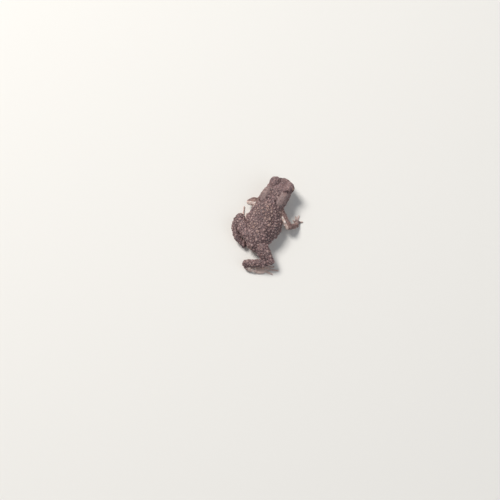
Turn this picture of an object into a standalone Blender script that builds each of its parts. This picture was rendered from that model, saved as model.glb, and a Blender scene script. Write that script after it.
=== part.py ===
"""A common toad at life size, caught in mid crawl, as a still museum model.

The snout points to -Y, +Z is up and the floor is Z = 0.  Every shape is worked out in millimetres in the
toad's own frame (right, ahead, up) and turned into metres once, when its mesh is made.
"""

import math
import random

import bmesh
import bpy
import numpy as np
from mathutils import Vector
from mathutils.bvhtree import BVHTree

MM = 0.001
GAP = 0.3  # left between two pieces that meet
SEED = 41

# Trunk and head, one body with its length S measured forward from the vent.
BODY_LENGTH = 59.2
VENT_AHEAD = -20.5  # where the vent lies in the toad's frame
NECK = 34.3  # S where the head is parted from the torso, just behind the glands
REAR_ROUNDING = 4.5  # length over which the rump closes
SNOUT_ROUNDING = 4.2  # length over which the snout closes
REAR_RINGS = (0.12, 0.55, 1.3)  # S of the close rings that round off the rump
SNOUT_RINGS = (1.3, 0.6, 0.18)  # lengths back from the tip of the close rings that round off the snout
RING_ROOM = 0.6  # least length from a close ring to the next even one
WIDEST_LEVEL = [(0.0, 0.42), (45.0, 0.42), (59.2, 0.56)]  # S, the widest line's height as a share
BACK_POWERS = (0.92, 0.90)  # of cosine and sine round the upper half: under 1 it is squarer than an oval
BELLY_POWERS = (0.84, 0.78)
SPINE = [(0.0, 1.3), (22.5, 0.6), (36.5, 0.5), (47.8, 2.8), (52.2, 3.7), (59.2, 5.0)]  # S, right
SECTION_TURN = 0.4  # share of the spine's bend by which the sections turn with it
SECTIONS = [  # S, half width, back, belly
    (0.0, 5.9, 11.2, 3.4),
    (6.0, 7.4, 14.2, 1.4),
    (11.0, 9.1, 15.9, 0.5),
    (17.0, 12.3, 17.2, -0.3),
    (22.5, 13.2, 18.0, -0.5),
    (28.5, 11.8, 18.1, 0.1),
    (35.0, 9.9, 17.2, 1.8),
    (41.0, 9.7, 16.6, 3.2),
    (48.0, 9.3, 15.8, 4.2),
    (53.0, 7.6, 14.6, 4.9),
    (56.4, 5.2, 13.0, 5.6),
    (59.2, 3.8, 12.2, 6.2),
]

# Head forms, each for the right side: S, lateral, up, then half sizes across, along and high.
EYE = (52.6, 6.5, 13.1)
EYE_RADIUS = 2.7
UPPER_LID = (52.4, 5.4, 14.3), (3.0, 3.9, 2.5)
LOWER_LID = (52.5, 6.8, 11.2), (2.4, 3.9, 1.6)
LID_YAW = -14.0  # degrees, the lids follow the head as it narrows forward
BROW_RIDGE = (55.1, 3.9, 12.6), (1.1, 3.0, 0.9)
BROW_YAW = -24.0
BROW_PITCH = 25.0  # degrees, the ridge falls forward with the snout
PAROTOID = (41.4, 6.4, 14.2), (3.4, 6.3, 2.1)
PAROTOID_YAW = 3.0  # degrees, the two glands draw apart a little towards the front
PAROTOID_ROLL = 28.0  # degrees, each gland leans out with the side of the neck
EARDRUM = (47.6, 9.1, 9.8), (0.5, 1.15, 1.15)
NOSTRIL = (57.3, 1.8, 10.8), (0.9, 0.95, 0.75)
NOSTRIL_HOLE = 0.55
NOSTRIL_HOLE_OFFSET = (0.3, 0.5, 0.35)  # S, lateral, up from the rim's middle
MOUTH_LINE = [(46.6, 6.5), (49.5, 7.3), (53.6, 7.5), (56.8, 7.6), (59.2, 7.9)]  # S, up
MOUTH_OPENING = 0.34
MOUTH_STOPS = 12  # points along each side of the mouth
MOUTH_SEARCH = 800  # steps in which the front of the mouth is looked for
SIDE_ANGLES = (-1.45, 1.45)  # radians round a section between which a height is looked for
SIDE_SEARCH = 400  # steps in which it is looked for
CORNER_TAPER = (0.45, 0.8)  # shares of the full thickness at the mouth's corner and the next point
LIP_RADIUS = 0.7
LIP_SUNK = 0.35  # how deep a lip's middle lies under the skin
LIP_SPREAD = 0.8  # height of each lip's middle from the mouth line

# Legs: the middle line's points (right, ahead, up) with the radius there.
LIMBS = {
    "upper_arm_right": [((8.2, 13.6, 8.6), 3.5), ((13.0, 10.0, 8.6), 3.0), ((18.0, 5.2, 7.4), 2.5)],
    "forearm_right": [((18.0, 5.2, 7.4), 2.5), ((20.7, 7.2, 4.9), 2.4), ((22.9, 10.0, 2.1), 1.6)],
    "upper_arm_left": [((-7.4, 13.8, 8.6), 3.4), ((-11.0, 13.9, 7.9), 2.9), ((-14.5, 13.7, 6.4), 2.4)],
    "forearm_left": [((-14.5, 13.7, 6.4), 2.4), ((-12.4, 16.6, 4.4), 2.3), ((-9.4, 19.2, 2.1), 1.6)],
    "thigh_right": [((3.0, -13.2, 8.6), 4.8), ((7.8, -18.6, 8.4), 5.1), ((14.0, -23.1, 7.2), 3.4)],
    "shank_right": [((14.0, -23.1, 7.2), 3.3), ((6.6, -27.2, 5.8), 3.2), ((-1.9, -29.5, 4.0), 2.5)],
    "thigh_left": [
        ((-2.0, -13.0, 8.6), 4.8),
        ((-7.6, -10.2, 8.8), 4.8),
        ((-12.6, -5.4, 8.8), 4.1),
        ((-16.6, 0.2, 8.0), 3.3),
    ],
    "shank_left": [
        ((-16.6, 0.2, 8.0), 3.3),
        ((-18.0, -6.0, 6.8), 2.9),
        ((-14.6, -12.9, 5.4), 2.7),
        ((-7.6, -17.6, 3.9), 2.1),
    ],
}
LIMB_PARTS = ("upper_arm", "forearm", "thigh", "shank")
# Hands and feet: the root's points as above, the sole's middle and half sizes, and each toe's tip.
EXTREMITIES = {
    "hand_right": (
        [((22.9, 10.0, 2.1), 1.6), ((22.7, 11.9, 1.1), 1.5)],
        ((22.7, 12.2, 0.9), (2.1, 2.3, 1.1), 0.0),
        [(19.5, 13.0), (20.3, 16.2), (22.3, 17.7), (26.0, 14.2)],
    ),
    "hand_left": (
        [((-9.4, 19.2, 2.1), 1.6), ((-7.9, 20.4, 1.1), 1.5)],
        ((-7.6, 20.6, 0.9), (2.1, 2.3, 1.1), -50.0),
        [(-3.8, 18.6), (-2.4, 21.4), (-3.3, 24.2), (-7.3, 24.6)],
    ),
    "foot_right": (
        [((-1.9, -29.5, 3.7), 2.4), ((0.6, -31.6, 2.4), 2.1), ((5.2, -31.6, 1.5), 2.0)],
        ((9.4, -30.2, 0.9), (2.6, 5.2, 1.2), 70.0),
        [(10.6, -26.0), (14.0, -24.6), (17.8, -24.4), (21.6, -26.0), (18.6, -29.9)],
    ),
    "foot_left": (
        [((-7.6, -17.6, 3.6), 2.0), ((-9.2, -13.0, 2.1), 1.6), ((-10.6, -8.4, 1.2), 1.6)],
        ((-11.5, -6.0, 0.7), (2.9, 4.0, 1.0), -16.0),
        [(-8.9, -2.9), (-11.2, 1.8), (-14.2, 6.2), (-17.6, 10.6), (-18.6, 2.6)],
    ),
}
# Share of a toe's length, its bow sideways as a share of that length, radius, height of the middle line.
TOE_STOPS = [
    (0.0, 0.0, 1.0, 0.8),
    (0.4, 0.05, 0.72, 0.65),
    (0.8, 0.02, 0.58, 0.44),
    (1.0, 0.0, 0.56, 0.40),
]
WEB_SHARES = (0.1, 0.42)  # shares of the hind toes' length between which the web joins them
WEB_DRAWN_IN = 0.35  # share by which a web's edge is shorter midway than along the toes
WEB_HALF_WIDTH = 0.46  # of the room between two toes' middle lines
WEB_LEVEL = 0.45
WEB_HALF_THICKNESS = 0.3

# Warts: how many a node carries, and their radii.
WARTS = {
    "torso": (88, 0.75, 1.45),
    "head": (16, 0.45, 0.75),
    "thigh_right": (9, 0.7, 1.1),
    "thigh_left": (11, 0.7, 1.1),
    "shank_right": (9, 0.6, 0.95),
    "shank_left": (10, 0.6, 0.95),
    "upper_arm_right": (5, 0.5, 0.8),
    "upper_arm_left": (4, 0.5, 0.8),
    "forearm_right": (5, 0.5, 0.75),
    "forearm_left": (4, 0.5, 0.75),
}
WART_HEIGHT = 0.62  # of its radius
WART_SUNK = 0.22  # of its radius, how deep its middle lies
WART_SPACING = 2.15  # of the mean radius, between two warts' middles
WART_SKEW = 1.6  # power on the draw of a size: above 1 there are more small warts than large ones
WART_TRIES = 60
WART_ROOM = 0.25  # left between a wart and a neighbouring piece, on top of the gap
WARTS_ABOVE = {"torso": 5.0, "head": 10.5}  # height over which the trunk carries warts
TORSO_WARTS = (1.8, NECK - 2.0)  # S
HEAD_WARTS = (NECK + 1.5, 55.8)
EYE_ROOM = 4.3  # from the eye's middle to the nearest wart's
GLAND_ROOM = 3.8  # the same from the parotoid gland's middle, in its width
GLAND_STRETCH = 1.8  # the gland's length over its width

# Fineness of each kind of surface.
TRUNK_SIDES = 28
TRUNK_STEP = 2.4
LIMB_SIDES = 12
FORM_SIDES = 14
ROOT_SIDES = 10
TOE_SIDES = 6
LIP_SIDES = 6
MOUTH_SIDES = 4
TOE_STEP = 3.0
LIP_STEP = 2.2
WEB_RINGS = 4
WEB_SIDES = 10
ROUND_END = (0.55, 1.05)  # radians from a limb's last ring to the rings of its rounded end
PLAIN_END = (0.85,)  # the same where the end is small or hidden
WART_SIDES = 6
WART_RINGS = (0.62, 1.55)  # radians from a wart's top

SHARP_ANGLE = 55.0  # degrees

SKIN = ("skin", (0.20, 0.135, 0.130), 0.72)
PALE_SKIN = ("pale skin", (0.36, 0.265, 0.235), 0.68)
IRIS = ("eye", (0.34, 0.17, 0.06), 0.12)


def cubic(at, knots, values):
    """The smooth curve through the values at the knots, with each slope taken from the two neighbours."""
    at, knots, values = (np.asarray(x, dtype=float) for x in (at, knots, values))
    slopes = np.gradient(values, knots, axis=0)
    i = np.clip(np.searchsorted(knots, at) - 1, 0, len(knots) - 2)
    span = knots[i + 1] - knots[i]
    x = (at - knots[i]) / span
    if values.ndim > 1:
        x, span = x[..., None], span[..., None]
    start = values[i] * (1 + 2 * x) * (1 - x) ** 2 + slopes[i] * span * x * (1 - x) ** 2
    end = values[i + 1] * (3 - 2 * x) * x**2 - slopes[i + 1] * span * (1 - x) * x**2
    return start + end


def trunk_point(s, lateral, up):
    """Turns a length along the body, a distance to its right and a height into the toad's frame."""
    knots, right = zip(*SPINE)
    middle = cubic(s, knots, right)
    slope = cubic(np.add(s, 0.5), knots, right) - cubic(np.add(s, -0.5), knots, right)
    turn = SECTION_TURN * np.arctan(slope)
    ahead = np.add(s, VENT_AHEAD)
    return np.stack(
        np.broadcast_arrays(middle + lateral * np.cos(turn), ahead - lateral * np.sin(turn), up), axis=-1
    )


def trunk_section(s, angle, grow=0.0):
    """Lateral place and height of the trunk's skin at S, for an angle round the section from the right.

    Each section is two half ovals, the belly's squarer than the back's, that shrink towards both ends.
    """
    knots, half, back, belly = (np.array(column) for column in zip(*SECTIONS))
    half, back, belly = (cubic(s, knots, column) for column in (half, back, belly))
    middle = belly + cubic(s, *zip(*WIDEST_LEVEL)) * (back - belly)
    into_rear = np.clip(1 - np.asarray(s) / REAR_ROUNDING, 0, 1)
    into_snout = np.clip(1 - (BODY_LENGTH - np.asarray(s)) / SNOUT_ROUNDING, 0, 1)
    closing = np.sqrt(np.clip(1 - into_rear**2, 0, 1) * np.clip(1 - into_snout**2, 0, 1))
    c, d = np.cos(angle), np.sin(angle)
    upper = d >= 0
    across = np.sign(c) * np.abs(c) ** np.where(upper, BACK_POWERS[0], BELLY_POWERS[0])
    rise = np.sign(d) * np.abs(d) ** np.where(upper, BACK_POWERS[1], BELLY_POWERS[1])
    height = np.where(upper, back - middle, middle - belly)
    return (half * closing + grow) * across, middle + (height * closing + grow) * rise


def trunk_skin(s, angle):
    """Points of the trunk's skin in the toad's frame."""
    lateral, up = trunk_section(s, angle)
    return trunk_point(s, lateral, up)


def trunk_side_at(s, up, side, sunk=0.0):
    """The point at a height on the trunk's right (side 1) or left (side -1) skin, or sunk under it."""
    angles = np.linspace(*SIDE_ANGLES, SIDE_SEARCH)
    lateral, height = trunk_section(s, angles, -sunk)
    lateral = np.interp(up, height, lateral)
    return trunk_point(s, side * lateral, up)


def grid_mesh(rows, close_start, close_end):
    """Vertices and faces of a closed surface from rings of points, each end closed by a fan."""
    count, sides = len(rows), len(rows[0])
    points = list(rows.reshape(-1, 3))
    faces = []
    for i in range(count - 1):
        for j in range(sides):
            k = (j + 1) % sides
            faces.append((i * sides + j, i * sides + k, (i + 1) * sides + k, (i + 1) * sides + j))
    for ring, point in ((0, close_start), (count - 1, close_end)):
        tip = len(points)
        points.append(np.asarray(point, dtype=float))
        for j in range(sides):
            faces.append((ring * sides + j, ring * sides + (j + 1) % sides, tip))
    return points, faces


def make_object(name, points, faces, on_floor=False):
    """A mesh object from points in the toad's frame, its faces turned outwards.

    A piece that stands on the floor has whatever would lie lower pressed flat at the floor's level.
    """
    mesh = bpy.data.meshes.new(name)
    places = [(-r * MM, -a * MM, (max(u, 0.0) if on_floor else u) * MM) for r, a, u in points]
    mesh.from_pydata(places, [], faces)
    bm = bmesh.new()
    bm.from_mesh(mesh)
    bmesh.ops.recalc_face_normals(bm, faces=bm.faces)
    bmesh.ops.triangulate(bm, faces=bm.faces)
    bm.to_mesh(mesh)
    bm.free()
    obj = bpy.data.objects.new(name, mesh)
    bpy.context.scene.collection.objects.link(obj)
    return obj


def trunk(name, start, end, grow=0.0, on_floor=True):
    """The trunk from one length to another: rounded off at the vent and the snout, cut flat elsewhere."""
    along = np.linspace(start, end, int(round((end - start) / TRUNK_STEP)) + 1)
    if start <= 0:
        along = np.concatenate([REAR_RINGS, along[along > REAR_RINGS[-1] + RING_ROOM]])
    if end >= BODY_LENGTH:
        even = along[along < end - SNOUT_RINGS[0] - RING_ROOM]
        along = np.concatenate([even, end - np.array(SNOUT_RINGS)])
    angles = np.linspace(0, 2 * np.pi, TRUNK_SIDES, endpoint=False)
    s, angle = np.meshgrid(along, angles, indexing="ij")
    lateral, up = trunk_section(s, angle, grow)
    rows = trunk_point(s, lateral, up)
    first, last = rows[0].mean(axis=0), rows[-1].mean(axis=0)
    if start <= 0:
        first = first - (0.0, REAR_RINGS[0] + grow, 0.0)
    if end >= BODY_LENGTH:
        last = last + (0.0, SNOUT_RINGS[-1] + grow, 0.0)
    points, faces = grid_mesh(rows, first, last)
    return make_object(name, points, faces, on_floor)


def ellipsoid(name, centre, axes, rings=6, sides=12, on_floor=False, lifts=None):
    """An ellipsoid with three half axes given as vectors, its rings at lifts from its top or else even."""
    across, along, high = (np.asarray(axis, dtype=float) for axis in axes)
    lifts = np.linspace(0, np.pi, rings + 1)[1:-1] if lifts is None else lifts
    turns = np.linspace(0, 2 * np.pi, sides, endpoint=False)
    lift, turn = np.meshgrid(lifts, turns, indexing="ij")
    wide = np.sin(lift)
    rows = (
        np.asarray(centre)
        + (wide * np.cos(turn))[..., None] * across
        + (wide * np.sin(turn))[..., None] * along
        + np.cos(lift)[..., None] * high
    )
    points, faces = grid_mesh(rows, centre + high, centre - high)
    return make_object(name, points, faces, on_floor)


def head_form(
    name, place, half_sizes, side, yaw=0.0, roll=0.0, pitch=0.0, grow=0.0, rings=8, sides=FORM_SIDES
):
    """An ellipsoid set on the head: S, lateral and up of its middle.

    It is turned by yaw, leans out by roll and falls forward by pitch, in degrees.
    """
    s, lateral, up = place
    centre = trunk_point(s, side * lateral, up)
    ahead = trunk_point(s + 0.5, 0, 0) - trunk_point(s - 0.5, 0, 0)
    ahead /= np.linalg.norm(ahead)
    right = np.array((ahead[1], -ahead[0], 0.0))
    spin, lean = math.radians(yaw * side), math.radians(roll * side)
    along = ahead * math.cos(spin) + right * math.sin(spin)
    level = right * math.cos(spin) - ahead * math.sin(spin)
    above = np.array((0.0, 0.0, 1.0))
    across = level * math.cos(lean) - above * math.sin(lean)
    high = above * math.cos(lean) + level * math.sin(lean)
    fall = math.radians(pitch)
    forward = along * math.cos(fall) - high * math.sin(fall)
    upward = high * math.cos(fall) + along * math.sin(fall)
    wide, long, tall = (half + grow for half in half_sizes)
    return ellipsoid(name, centre, (across * wide, forward * long, upward * tall), rings, sides)


def tube(name, path, sides, grow=0.0, step=2.0, on_floor=False, end_rings=PLAIN_END):
    """A round-ended tube along the smooth curve through the path's points, with their radii."""
    places = np.array([point for point, _ in path])
    radii = np.array([radius for _, radius in path]) + grow
    knots = np.concatenate([[0], np.cumsum(np.linalg.norm(np.diff(places, axis=0), axis=1))])
    count = max(int(math.ceil(knots[-1] / step)), 2)
    at = np.linspace(0, knots[-1], count + 1)
    middle, radius = cubic(at, knots, places), cubic(at, knots, radii)
    ahead = np.gradient(middle, axis=0)
    ahead /= np.linalg.norm(ahead, axis=1)[:, None]
    side = np.cross(ahead, (0.0, 0.0, 1.0))
    side /= np.linalg.norm(side, axis=1)[:, None]
    above = np.cross(side, ahead)
    turn = np.linspace(0, 2 * np.pi, sides, endpoint=False)
    rows = list(zip(middle, side, above, radius))
    for lift in end_rings:
        for end, way in ((0, -1), (-1, 1)):
            place = middle[end] + way * ahead[end] * radius[end] * math.sin(lift)
            ring = (place, side[end], above[end], radius[end] * math.cos(lift))
            rows.insert(len(rows) if way > 0 else 0, ring)
    wide, tall = np.cos(turn)[:, None], np.sin(turn)[:, None]
    rings = np.array([m + r * (wide * x + tall * z) for m, x, z, r in rows])
    start, end = middle[0] - ahead[0] * radius[0], middle[-1] + ahead[-1] * radius[-1]
    points, faces = grid_mesh(rings, start, end)
    return make_object(name, points, faces, on_floor)


def discard(objects):
    """Removes the objects."""
    for obj in objects:
        bpy.data.objects.remove(obj)


def combine(obj, others, operation):
    """One Boolean of the object with a collection of closed pieces, applied, and the pieces removed."""
    if not others:
        return obj
    pieces = bpy.data.collections.new("pieces")
    for other in others:
        pieces.objects.link(other)
        other.hide_render = True
        other.display_type = "WIRE"
    change = obj.modifiers.new("join", "BOOLEAN")
    change.operation = operation
    change.operand_type = "COLLECTION"
    change.collection = pieces
    change.solver = "EXACT"
    graph = bpy.context.evaluated_depsgraph_get()
    mesh = bpy.data.meshes.new_from_object(obj.evaluated_get(graph))
    obj.modifiers.clear()
    obj.data = mesh
    discard(others)
    bpy.data.collections.remove(pieces)
    keep_largest(obj)
    return obj


def keep_largest(obj):
    """Leaves only the closed surface that holds the most faces."""
    bm = bmesh.new()
    bm.from_mesh(obj.data)
    bmesh.ops.triangulate(bm, faces=bm.faces)
    unseen = set(bm.faces)
    shells = []
    while unseen:
        shell, edge_of_search = set(), [next(iter(unseen))]
        while edge_of_search:
            face = edge_of_search.pop()
            if face in shell:
                continue
            shell.add(face)
            edge_of_search.extend(f for edge in face.edges for f in edge.link_faces if f not in shell)
        unseen -= shell
        shells.append(shell)
    largest = max(shells, key=len)
    bmesh.ops.delete(bm, geom=[f for f in bm.faces if f not in largest], context="FACES")
    bmesh.ops.delete(bm, geom=[v for v in bm.verts if not v.link_faces], context="VERTS")
    bm.to_mesh(obj.data)
    bm.free()


def clear_of_limbs(point, room, names):
    """Whether a point in the toad's frame lies at least the room outside each of the named limbs."""
    for name in names:
        path = LIMBS[name]
        for (a, ra), (b, rb) in zip(path, path[1:]):
            a, b = np.array(a), np.array(b)
            share = np.clip(np.dot(point - a, b - a) / np.dot(b - a, b - a), 0, 1)
            if np.linalg.norm(point - (a + (b - a) * share)) < ra + (rb - ra) * share + room:
                return False
    return True


def wart(point, normal, radius):
    """A low dome on the skin, its root sunk in."""
    normal = np.asarray(normal) / np.linalg.norm(normal)
    flat = np.cross(normal, (0.31, 0.87, 0.38))
    flat /= np.linalg.norm(flat)
    other = np.cross(normal, flat)
    centre = np.asarray(point) - normal * radius * WART_SUNK
    high = normal * radius * (WART_HEIGHT + WART_SUNK)
    axes = (flat * radius, other * radius, high)
    return ellipsoid("wart", centre, axes, sides=WART_SIDES, lifts=WART_RINGS)


def scatter(rng, count, small, large, draw, allowed):
    """Warts at drawn places that keep their distance from each other, the large ones first."""
    placed = []
    radii = [small + (large - small) * rng.random() ** WART_SKEW for _ in range(count)]
    radii.sort(reverse=True)
    for radius in radii:
        for _ in range(WART_TRIES):
            point, normal = draw()
            far = all(np.linalg.norm(point - p) > WART_SPACING * 0.5 * (radius + r) for p, _, r in placed)
            if far and allowed(point, radius):
                placed.append((point, normal, radius))
                break
    return [wart(point, normal, radius) for point, normal, radius in placed]


def trunk_warts(rng, node, start, end, allowed):
    """Warts over the back and flanks of one stretch of the trunk."""

    def draw():
        s = rng.uniform(start, end)
        angle = rng.uniform(-0.15, math.pi + 0.15)
        point = trunk_skin(s, angle)
        along = trunk_skin(s + 0.3, angle) - trunk_skin(s - 0.3, angle)
        round_it = trunk_skin(s, angle + 0.05) - trunk_skin(s, angle - 0.05)
        normal = np.cross(round_it, along)
        return point, -normal if np.dot(normal, point - trunk_point(s, 0, 7.0)) < 0 else normal

    count, small, large = WARTS[node]
    return scatter(rng, count, small, large, draw, allowed)


def limb_warts(rng, node, outside):
    """Warts over the upper side of a limb."""
    path = LIMBS[node]
    places = np.array([point for point, _ in path])
    radii = np.array([radius for _, radius in path])
    knots = np.arange(len(path), dtype=float)

    def draw():
        at = rng.uniform(0.15, knots[-1] - 0.15)
        middle, radius = cubic(at, knots, places), cubic(at, knots, radii)
        ahead = cubic(at + 0.05, knots, places) - cubic(at - 0.05, knots, places)
        side = np.cross(ahead, (0.0, 0.0, 1.0))
        side /= np.linalg.norm(side)
        above = np.cross(side, ahead / np.linalg.norm(ahead))
        angle = rng.uniform(0.1, math.pi - 0.1)
        normal = math.cos(angle) * side + math.sin(angle) * above
        return middle + radius * normal, normal

    count, small, large = WARTS[node]
    return scatter(rng, count, small, large, draw, outside)


def outside_of(obj, others):
    """A test that a wart's place lies clear of a solid and of the other limbs."""
    corners = [vertex.co for vertex in obj.data.vertices]
    tree = BVHTree.FromPolygons(corners, [polygon.vertices for polygon in obj.data.polygons])

    def test(point, radius):
        place = Vector((-point[0] * MM, -point[1] * MM, point[2] * MM))
        nearest, normal, _, distance = tree.find_nearest(place)
        clear = (place - nearest).dot(normal) > 0 and distance > (radius + GAP + WART_ROOM) * MM
        return clear and clear_of_limbs(point, radius + GAP + WART_ROOM, others)

    return test


def head_pieces(side):
    """The raised forms of one side of the head."""
    return [
        head_form("parotoid", *PAROTOID, side, PAROTOID_YAW, PAROTOID_ROLL),
        head_form("upper lid", *UPPER_LID, side, LID_YAW),
        head_form("lower lid", *LOWER_LID, side, LID_YAW),
        head_form("brow ridge", *BROW_RIDGE, side, BROW_YAW, pitch=BROW_PITCH, rings=6, sides=10),
        head_form("eardrum", *EARDRUM, side, rings=6, sides=10),
        head_form("nostril rim", *NOSTRIL, side, rings=6, sides=10),
    ]


def mouth_path(level, radius, sunk):
    """Points round the snout at the mouth's height plus level, from the left corner to the right one.

    They stand closer together towards the front, where that height leaves the skin under the snout's tip.
    """
    lengths, heights = zip(*MOUTH_LINE)
    fine = np.linspace(lengths[0], BODY_LENGTH, MOUTH_SEARCH)
    lowest = trunk_section(fine, -math.pi / 2, -sunk)[1]
    front = fine[lowest < cubic(fine, lengths, heights) + level].max()
    along = front - (front - lengths[0]) * np.linspace(1, 0, MOUTH_STOPS) ** 2
    up = cubic(along, lengths, heights) + level
    left, right = ([trunk_side_at(*stop, side, sunk) for stop in zip(along, up)] for side in (-1, 1))
    points = left[:-1] + [(left[-1] + right[-1]) / 2] + right[-2::-1]
    taper = [*CORNER_TAPER, *[1.0] * (len(points) - 2 * len(CORNER_TAPER)), *CORNER_TAPER[::-1]]
    return [(tuple(point), radius * share) for point, share in zip(points, taper)]


def make_head(rng):
    """The head: its form, lids, glands, lips and warts fused, with sockets, mouth and nostrils cut in."""
    head = trunk("head", NECK + GAP / 2, BODY_LENGTH)
    pieces = head_pieces(1) + head_pieces(-1)
    for level in (LIP_SPREAD, -LIP_SPREAD):
        pieces.append(tube("lip", mouth_path(level, LIP_RADIUS, LIP_SUNK), LIP_SIDES, step=LIP_STEP))

    def allowed(point, radius):
        for side in (1, -1):
            eye = trunk_point(EYE[0], side * EYE[1], EYE[2])
            gland = trunk_point(PAROTOID[0][0], side * PAROTOID[0][1], PAROTOID[0][2])
            if np.linalg.norm(point - eye) < EYE_ROOM:
                return False
            if np.linalg.norm((point - gland) / (1, GLAND_STRETCH, 1)) < GLAND_ROOM:
                return False
        return point[2] > WARTS_ABOVE["head"]

    pieces += trunk_warts(rng, "head", *HEAD_WARTS, allowed)
    combine(head, pieces, "UNION")
    cuts = [tube("mouth", mouth_path(0.0, MOUTH_OPENING, 0.0), MOUTH_SIDES, step=LIP_STEP)]
    hole = np.add(NOSTRIL[0], NOSTRIL_HOLE_OFFSET)
    for side in (1, -1):
        cuts.append(head_form("socket", EYE, (EYE_RADIUS,) * 3, side, grow=GAP))
        cuts.append(head_form("nostril", hole, (NOSTRIL_HOLE,) * 3, side, rings=6, sides=8))
    return combine(head, cuts, "DIFFERENCE")


def make_torso(rng):
    """The torso with its warts, which keep clear of the limbs."""
    torso = trunk("torso", 0.0, NECK - GAP / 2)

    def allowed(point, radius):
        return point[2] > WARTS_ABOVE["torso"] and clear_of_limbs(point, radius + GAP + WART_ROOM, LIMBS)

    return combine(torso, trunk_warts(rng, "torso", *TORSO_WARTS, allowed), "UNION")


def make_limb(rng, name, cutters, stem, others):
    """A limb piece with its warts, parted from what it grows from."""
    limb = tube(name, LIMBS[name], LIMB_SIDES, end_rings=ROUND_END)
    combine(limb, limb_warts(rng, name, outside_of(stem, others)), "UNION")
    return combine(limb, cutters, "DIFFERENCE")


def room_round_trunk():
    """The trunk grown by the gap, to cut back a limb that meets it."""
    return trunk("near", 0.0, BODY_LENGTH, GAP, on_floor=False)


def room_round_limb(name):
    """A limb grown by the gap, to cut back the next piece along."""
    return tube("near", LIMBS[name], LIMB_SIDES, GAP, end_rings=ROUND_END)


def toe_path(root, tip):
    """A toe's middle line, arched a little between the sole and its rounded tip."""
    reach = np.subtract(tip, root)
    sideways = np.array((-reach[1], reach[0]))
    path = []
    for share, bow, radius, up in TOE_STOPS:
        right, ahead = root + reach * share + sideways * bow
        path.append(((right, ahead, up), radius))
    return path


def web(root, tip, other_tip):
    """The skin between two toes: level lines from one to the other under a thin oval edge."""
    along = np.linspace(0, 1, WEB_RINGS)
    turns = np.linspace(0, 2 * np.pi, WEB_SIDES, endpoint=False)
    along, turn = np.meshgrid(along, turns, indexing="ij")
    across = 0.5 + WEB_HALF_WIDTH * np.cos(turn)
    inner, outer = WEB_SHARES
    share = inner + (outer - inner) * along * (1 - WEB_DRAWN_IN * np.sin(np.pi * across))
    near_side, far_side = (share * (1 - across))[..., None], (share * across)[..., None]
    place = root + near_side * np.subtract(tip, root) + far_side * np.subtract(other_tip, root)
    height = WEB_LEVEL + WEB_HALF_THICKNESS * np.sin(turn)
    rows = np.concatenate([place, height[..., None]], axis=-1)
    points, faces = grid_mesh(rows, rows[0].mean(axis=0), rows[-1].mean(axis=0))
    return make_object("web", points, faces, on_floor=True)


def make_extremity(name, cutter):
    """A hand or foot: root, sole and toes fused, standing on flats at the floor."""
    root, (middle, half_sizes, yaw), tips = EXTREMITIES[name]
    spin = math.radians(yaw)
    ahead = np.array((math.sin(spin), math.cos(spin), 0.0))
    right = np.array((math.cos(spin), -math.sin(spin), 0.0))
    wide, long, tall = half_sizes
    body = tube(name, root, ROOT_SIDES, on_floor=True)
    axes = (right * wide, ahead * long, np.array((0, 0, tall)))
    sole = ellipsoid("sole", middle, axes, sides=FORM_SIDES, on_floor=True)
    base = middle[:2]
    toes = [tube("toe", toe_path(base, tip), TOE_SIDES, step=TOE_STEP, on_floor=True) for tip in tips]
    webs = [web(base, *pair) for pair in zip(tips, tips[1:])] if name.startswith("foot") else []
    combine(body, [sole, *toes, *webs], "UNION")
    return combine(body, [cutter], "DIFFERENCE")


def paint(obj, finish):
    """Shades a piece smooth but for its sharp edges, and gives it its material."""
    name, colour, roughness = finish
    obj.data.shade_smooth()
    obj.data.set_sharp_from_angle(angle=math.radians(SHARP_ANGLE))
    material = bpy.data.materials.get(name) or bpy.data.materials.new(name)
    material.use_nodes = True
    shader = material.node_tree.nodes["Principled BSDF"]
    shader.inputs["Base Color"].default_value = (*colour, 1.0)
    shader.inputs["Roughness"].default_value = roughness
    shader.inputs["Metallic"].default_value = 0.0
    obj.data.materials.clear()
    obj.data.materials.append(material)


def settle(objects):
    """Moves the whole toad so that the origin lies under the middle of its box."""
    corners = np.array([v.co for obj in objects for v in obj.data.vertices])
    low, high = corners.min(axis=0), corners.max(axis=0)
    shift = Vector((-(low[0] + high[0]) / 2, -(low[1] + high[1]) / 2, -low[2]))
    for obj in objects:
        for vertex in obj.data.vertices:
            vertex.co += shift


def main():
    """Builds every piece under one empty, the toad."""
    discard(list(bpy.data.objects))
    rng = random.Random(SEED)
    torso, head = make_torso(rng), make_head(rng)
    nodes = [torso, head]
    for side, word in ((1, "right"), (-1, "left")):
        nodes.append(head_form("eye_" + word, EYE, (EYE_RADIUS,) * 3, side, rings=10, sides=16))
    for word in ("right", "left"):
        arm, forearm, thigh, shank = (f"{part}_{word}" for part in LIMB_PARTS)
        glands = [
            head_form("gland", *PAROTOID, side, PAROTOID_YAW, PAROTOID_ROLL, grow=GAP) for side in (1, -1)
        ]
        nodes.append(make_limb(rng, arm, [room_round_trunk(), *glands], head, [forearm]))
        nodes.append(make_limb(rng, forearm, [room_round_limb(arm)], head, [arm]))
        nodes.append(make_extremity("hand_" + word, room_round_limb(forearm)))
        nodes.append(make_limb(rng, thigh, [room_round_trunk()], torso, [shank]))
        nodes.append(make_limb(rng, shank, [room_round_limb(thigh)], torso, [thigh]))
        nodes.append(make_extremity("foot_" + word, room_round_limb(shank)))
    settle(nodes)
    toad = bpy.data.objects.new("toad", None)
    bpy.context.scene.collection.objects.link(toad)
    for node in nodes:
        node.parent = toad
        finish = PALE_SKIN if node.name.startswith(("hand", "foot")) else SKIN
        paint(node, IRIS if node.name.startswith("eye") else finish)


main()
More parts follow.
